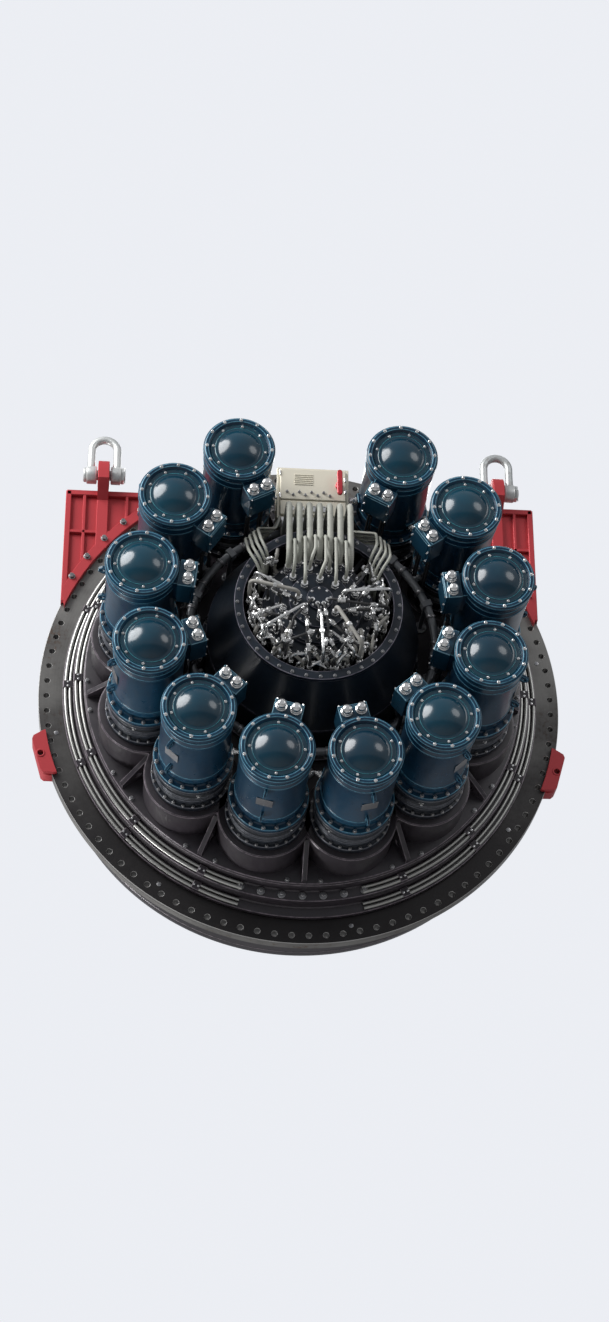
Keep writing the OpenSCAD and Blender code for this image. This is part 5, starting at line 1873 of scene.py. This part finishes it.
@dataclass
class Piping(SubAssembly):
    """The cooling ring main and the grease pipes on the collars."""

    ring_r: float = 1.0903
    ring_at: float = 1.29
    pipe_r: float = 0.036
    branch_r: float = 0.0216
    sweep: float = radians(150)
    lines_r: float = 0.015

    def build(self) -> None:
        """Makes the ring main, its posts and branches, and the grease pipes."""
        ring, at, thick, wall = self.ring_r, self.ring_at, self.branch_r, LAYOUT.wall_rear
        self.pipes("ring_main", [hoop(ring, at, 78)],
                   PIPE_DARK, Pipe(self.pipe_r, 0.5, 20, 1), "cooling_ring", shut=True)
        posts = Around(LAYOUT.units, ring, LAYOUT.angle(0.5))
        post = Shell().disc(0.0576, wall, wall + 0.016, 0.003, 32)
        post.disc(thick, wall + 0.014, at - 0.03, 0.002, 24)
        for y in (0.004 - at, -at - 0.042):
            post.block((-0.046, y, -0.03), (0.046, y + 0.038, 0.03), 0.004)
        self.piece("ring_main_posts", post, PIPE_DARK, posts, "cooling_posts")
        self.bolts("ring_main_bolts", 0.008, wall + 0.016, Around(4, 0.043, 0.785), posts)
        starts = Around(LAYOUT.units - 1, ring, LAYOUT.angle(1), LAYOUT.step)
        right = Facing.RIGHT.at(y=-at)
        branch = Shell().disc(thick, 0.02, 0.093, 0.002, 24, right)
        branch.disc(0.034, 0.03, 0.048, 0.003, 6, right)
        branch.disc(0.031, 0.062, 0.09, 0.003, 6, right)
        self.piece("ring_main_branches", branch, PIPE_DARK, starts, "cooling_branches")
        union = Shell().ring(0.046, 0.03, -0.012, 0.012, 0.003, 28, Facing.UP.at(y=-at))
        self.piece("ring_main_couplings",
                   union, BOLT_STEEL, Around(26, ring, LAYOUT.angle(0.25), LAYOUT.step / 2))
        self._grease_pipes()

    def _grease_pipes(self) -> None:
        """Makes the grease pipes on the collars with their clamps."""
        line = self.lines_r
        height, depth = 2 * line + 0.016, 4 * line + 0.024
        runs, clamps, bolts = [], Shell(), Shell()
        for radius, station in ((2.1325, LAYOUT.collar_1_end), (2.0375, LAYOUT.collar_2_end)):
            y = -station - height / 2
            for first in (-self.sweep / 2, pi - self.sweep / 2):
                for lane in (-1, 1):
                    r = radius + lane * (line + 0.006)
                    runs.append([(x, y, z) for x, z in arc(r, first, first + self.sweep, 42)])
                for i in range(7):
                    at = about(-first - (i + 0.5) * self.sweep / 7) @ shift(radius)
                    clamps.block((-depth / 2, -station - height, -0.035),
                                 (depth / 2, -station, 0.035), 0.006, at)
                    for z in (-0.02, 0.02):
                        bolts.bolt(0.008, station + height, at @ shift(z=z), 0.4)
        self.pipes("grease_pipe_set", runs, PIPE_STEEL, Pipe(line, 1.0, 14, 1), "grease_pipes")
        self.piece("grease_pipe_clamps", clamps, CASE_BLACK)
        self.piece("grease_clamp_bolts", bolts, BRIGHT_STEEL)


@dataclass
class LiftingGear(SubAssembly):
    """The red brackets and lugs on the flange's rim, and the shackles."""

    rim_r: float = 2.4003
    grip_r: float = 2.354
    inner_x: float = 1.399
    outer_x: float = 2.239
    low_z: float = 0.83
    high_z: float = 2.081
    cheek: float = 0.06
    body_end: float = 0.18
    strip: float = 0.052
    eye: Sizes = (1.89, 0.23, 2.22)
    eye_r: float = 0.14
    eye_t: float = 0.11
    pin_r: float = 0.048
    bow_r: float = 0.122
    bow_h: float = 0.27
    bar_r: float = 0.038
    bolt_angles: Sizes = (28, 34, 40, 46, 51)
    lug_angle: float = radians(16)
    lug_half: float = 0.218
    lug_out: float = 2.483
    lug_hole: float = 2.4425

    def build(self) -> None:
        """Makes both brackets, both shackles and both lugs."""
        for side, name in ((-1, "left"), (1, "right")):
            self._bracket(side, name)
            self._shackle(side, name)
        self._lugs()

    def _edge(self, radius: float) -> list[Pair]:
        """Gives a bracket's curved inner edge, from its lower to its inner end.

        Args:
            radius: the edge's radius.

        Returns:
            Its points.
        """
        low = asin(min(1.0, self.low_z / radius))
        reach = min(self.outer_x, sqrt(radius ** 2 - self.low_z ** 2))
        first = acos(reach / radius) if reach >= self.outer_x else low
        return arc(radius, first, acos(self.inner_x / radius), 14)

    def _bracket(self, side: int, name: str) -> None:
        """Makes one bracket as welded plates.

        Args:
            side: -1 for the left and 1 for the right.
            name: the side's name.
        """
        mirror = Matrix.Scale(side, 4, (1, 0, 0))
        x0, x1, z0, z1, strip = self.inner_x, self.outer_x, self.low_z, self.high_z, self.strip
        shell = Shell()
        shell.plate([*self._edge(self.rim_r), (x0, z1), (x1, z1)], -0.015, 0.135, 0.004, mirror)
        band = [*self._edge(self.grip_r), *reversed(self._edge(self.grip_r + 0.098))]
        for front, rear in ((-self.cheek, 0), (LAYOUT.flange_rear, self.body_end)):
            shell.plate(band, front, rear, 0.005, mirror)
            for box in ((x0, x1 - 0.01, z1 - strip, z1), (x1 - strip, x1, z0 + 0.05, z1 - 0.01),
                        (x0, x0 + strip, z1 - 0.15, z1 - 0.01)):
                shell.plate(box_outline(*box), front + 0.001, rear - 0.001, 0.005, mirror)
            for box in ((1.646, 1.674, 1.79, z1 - 0.03), (2.046, 2.074, 1.32, z1 - 0.03),
                        (1.82, x1 - 0.03, 1.62, 1.65)):
                shell.plate(box_outline(*box), front + 0.006, rear - 0.006, 0.004, mirror)
        x, s, z = self.eye
        half = self.eye_t / 2
        side_on = mirror @ shift(x) @ about(pi / 2, "Z")
        shell.plate(
            box_outline(-0.1805, 0.06, 1.46, 1.985), -half + 0.002, half - 0.002, 0.004, side_on)
        reach = self.eye_r - 0.002
        web = [(0.06, 1.98), (-0.1805, 1.98), (-s - reach, 2.12),
               *arc(reach, pi, 0, 18, (-s, z)), (-s + reach, z - 0.01), (0.06, z1 - 0.002)]
        shell.holed(web, (-s, z), self.pin_r + 0.0006, -half + 0.002, half - 0.002, 0.004, side_on)
        for part in (-half, half - 0.014):
            shell.ring(self.eye_r - 0.025, self.pin_r + 0.0004, part, part + 0.014, 0.003, 48,
                       mirror @ Facing.RIGHT.at(x, -s, z))
        self.piece(f"bracket_{name}", shell, BRACKET_RED, f"lifting_bracket_{name}")
        bolts = Shell()
        for angle in self.bolt_angles:
            px, pz = polar(self.grip_r + 0.075, radians(angle))
            at = shift(side * px, z=pz)
            bolts.bolt(0.024, self.body_end, at)
            bolts.bolt(0.024, self.cheek, at @ FORWARD)
        self.piece(f"bracket_bolts_{name}", bolts, BOLT_STEEL)

    def _shackle(self, side: int, name: str) -> None:
        """Makes one bow shackle and its pin.

        Args:
            side: -1 for the left and 1 for the right.
            name: the side's name.
        """
        x, s, z = self.eye
        at = shift(side * x, -s, z)
        along_pin = at @ Facing.RIGHT.at()
        bow_r, bow_h, bar, pin_r = self.bow_r, self.bow_h, self.bar_r, self.pin_r
        legs = ((0.03, bar + 0.004), (0.1, bar + 0.001), (0.18, bar - 0.001))
        path = [*((-bow_r, 0, up) for up, _ in legs),
                *((px, 0, pz + bow_h) for px, pz in arc(bow_r, pi, 0, 28)),
                *((bow_r, 0, up) for up, _ in reversed(legs))]
        radii = [*(r for _, r in legs), *[bar] * 29, *(r for _, r in reversed(legs))]
        bow = Shell().sweep(path, radii, 24, at)
        for start in (-0.1635, 0.066):
            bow.ring(0.086, pin_r + 0.0006, start, start + 0.0975, 0.012, 48, along_pin)
        body = f"shackle_{name}"
        self.piece(f"shackle_bow_ring_{name}", bow, ZINC, f"shackle_bow_{name}", body=body)
        pin = Shell().lathe([
            (0, -0.194), (0.06, -0.194), (0.0696, -0.186), (0.0696, -0.1645),
            (pin_r, -0.1645), (pin_r, 0.197), (0.042, 0.206), (0, 0.206)], 0.003, 48, along_pin)
        pin.disc(0.0768, 0.1645, 0.1935, 0.005, 6, along_pin)
        pin.ring(0.064, 0.05, 0.164, 0.166, 0, 40, along_pin)
        pin.sweep([(0.2, 0, 0.085), (0.2, 0, -0.075)], [0.0055, 0.0055], 10, at)
        self.piece(f"shackle_pin_rod_{name}", pin, ZINC, f"shackle_pin_{name}", body=body)

    def _lugs(self) -> None:
        """Makes the two small lugs for tag lines."""
        shell = Shell()
        half, out, hole = self.lug_half, self.lug_out, self.lug_hole
        for angle in (-self.lug_angle, pi + self.lug_angle):
            turn = about(-angle)
            for inner, front, rear in (
                    (self.rim_r, 0, LAYOUT.flange_rear), (self.grip_r, -0.045, -0.0003),
                    (self.grip_r, LAYOUT.flange_rear + 0.0003, 0.165)):
                flat = sqrt(inner ** 2 - half ** 2) + 0.02
                reach = asin(half / inner)
                outline = [*arc(inner, reach, -reach, 8), (flat, -half), (out - 0.02, 0.03 - half),
                           (out, 0.06 - half), (out, half - 0.06), (out - 0.02, half - 0.03),
                           (flat, half)]
                shell.holed(outline, (hole, 0), 0.026, front, rear, 0.004, turn)
            shell.ring(0.039, 0.0262, 0.163, 0.171, 0.002, 32, turn @ shift(hole))
        self.piece("tag_lugs", shell, BRACKET_RED, "tag_line_lugs")


# ---- Studio ----


@dataclass
class PhotoStudio:
    """The floor, the lamps, the pale surroundings and the camera."""

    floor_z: float = -10.6
    floor_r: float = 160.0
    centre: Sizes = (0.0, -0.55, 0.16)
    azimuth: float = -5.0
    elevation: float = -27.0
    distance: float = 22.0
    lens: float = 66.0
    sky: float = 0.38
    room: Colour = (0.93, 0.95, 1.0)
    lamps: Sequence[Sizes] = (
        (-12.5, -8.0, 9.5, 13.0, 4400.0), (12.0, -12.0, 7.0, 8.0, 500.0),
        (-10.0, 5.0, -7.5, 4.0, 1100.0), (2.0, 12.0, 10.0, 9.0, 1100.0))

    def build(self) -> None:
        """Makes the studio."""
        self._floor()
        self._world()
        for number, lamp in enumerate(self.lamps, 1):
            self._lamp(f"softbox_{number}", lamp)
        self._camera()

    def _floor(self) -> None:
        """Makes the floor, a wide disc that the machine hangs above."""
        rim = [(x, y, self.floor_z) for x, y in arc(self.floor_r, 0, TURN, 96)[:-1]]
        mesh = bpy.data.meshes.new("floor")
        mesh.from_pydata(rim, [], [range(len(rim))])
        mesh.materials.append(Studio("studio_floor", (0.42, 0.42, 0.42), self.room).build())
        floor = stand("floor", mesh)

    def _world(self) -> None:
        """Makes the pale surroundings, brighter to the camera than as a light."""
        world = bpy.data.worlds.new("pale_room")
        bpy.context.scene.world = world
        world.use_nodes = True
        world.node_tree.nodes.clear()
        g = Graph(world.node_tree)
        path = g.node("ShaderNodeLightPath")
        seen = Wire(g, path.outputs["Is Camera Ray"]).larger(
            Wire(g, path.outputs["Is Transmission Ray"]))
        glossy = Wire(g, path.outputs["Is Glossy Ray"])
        strength = seen * (0.9 - self.sky) + glossy * 0.06 + self.sky
        shade = g.wire("ShaderNodeBackground", {"Color": (*self.room, 1.0), "Strength": strength})
        g.node("ShaderNodeOutputWorld", {"Surface": shade})

    def _lamp(self, name: str, lamp: Sizes) -> None:
        """Makes one soft lamp that points at the machine.

        Args:
            name: the lamp's name.
            lamp: x, y and z of its place, its width and its power.
        """
        data = bpy.data.lights.new(name, "AREA")
        data.shape = "DISK"
        data.size, data.energy = lamp[3:]
        item = stand(name, data)
        item.location = lamp[:3]
        way = Vector(self.centre) - Vector(lamp[:3])
        item.rotation_euler = way.to_track_quat("-Z", "Y").to_euler()

    def _camera(self) -> None:
        """Makes the camera on the photograph's line of sight."""
        data = bpy.data.cameras.new("camera")
        data.lens = self.lens
        data.sensor_width = 36.0
        data.clip_end = 500.0
        camera = stand("camera", data)
        a, e = radians(self.azimuth), radians(self.elevation)
        away = Vector((sin(a) * cos(e), -cos(a) * cos(e), sin(e)))
        camera.location = Vector(self.centre) + away * self.distance
        camera.rotation_euler = (-away).to_track_quat("-Z", "Y").to_euler()
        bpy.context.scene.camera = camera


def main() -> None:
    """Builds the studio, then the machine's pieces in order."""
    logging.basicConfig(level=logging.INFO, format="%(name)s: %(message)s")
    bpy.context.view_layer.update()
    PhotoStudio().build()
    for kind in (ShieldFlange, FrontCasing, GearCase, MainBearing, CentreDrum, GearUnits,
                 Motors, GreaseCabinet, RotaryUnion, Piping, LiftingGear):
        log.info("%s", kind.__name__)
        kind().build()
    bpy.context.scene.view_settings.view_transform = "Standard"


if __name__ == "__main__":
    main()
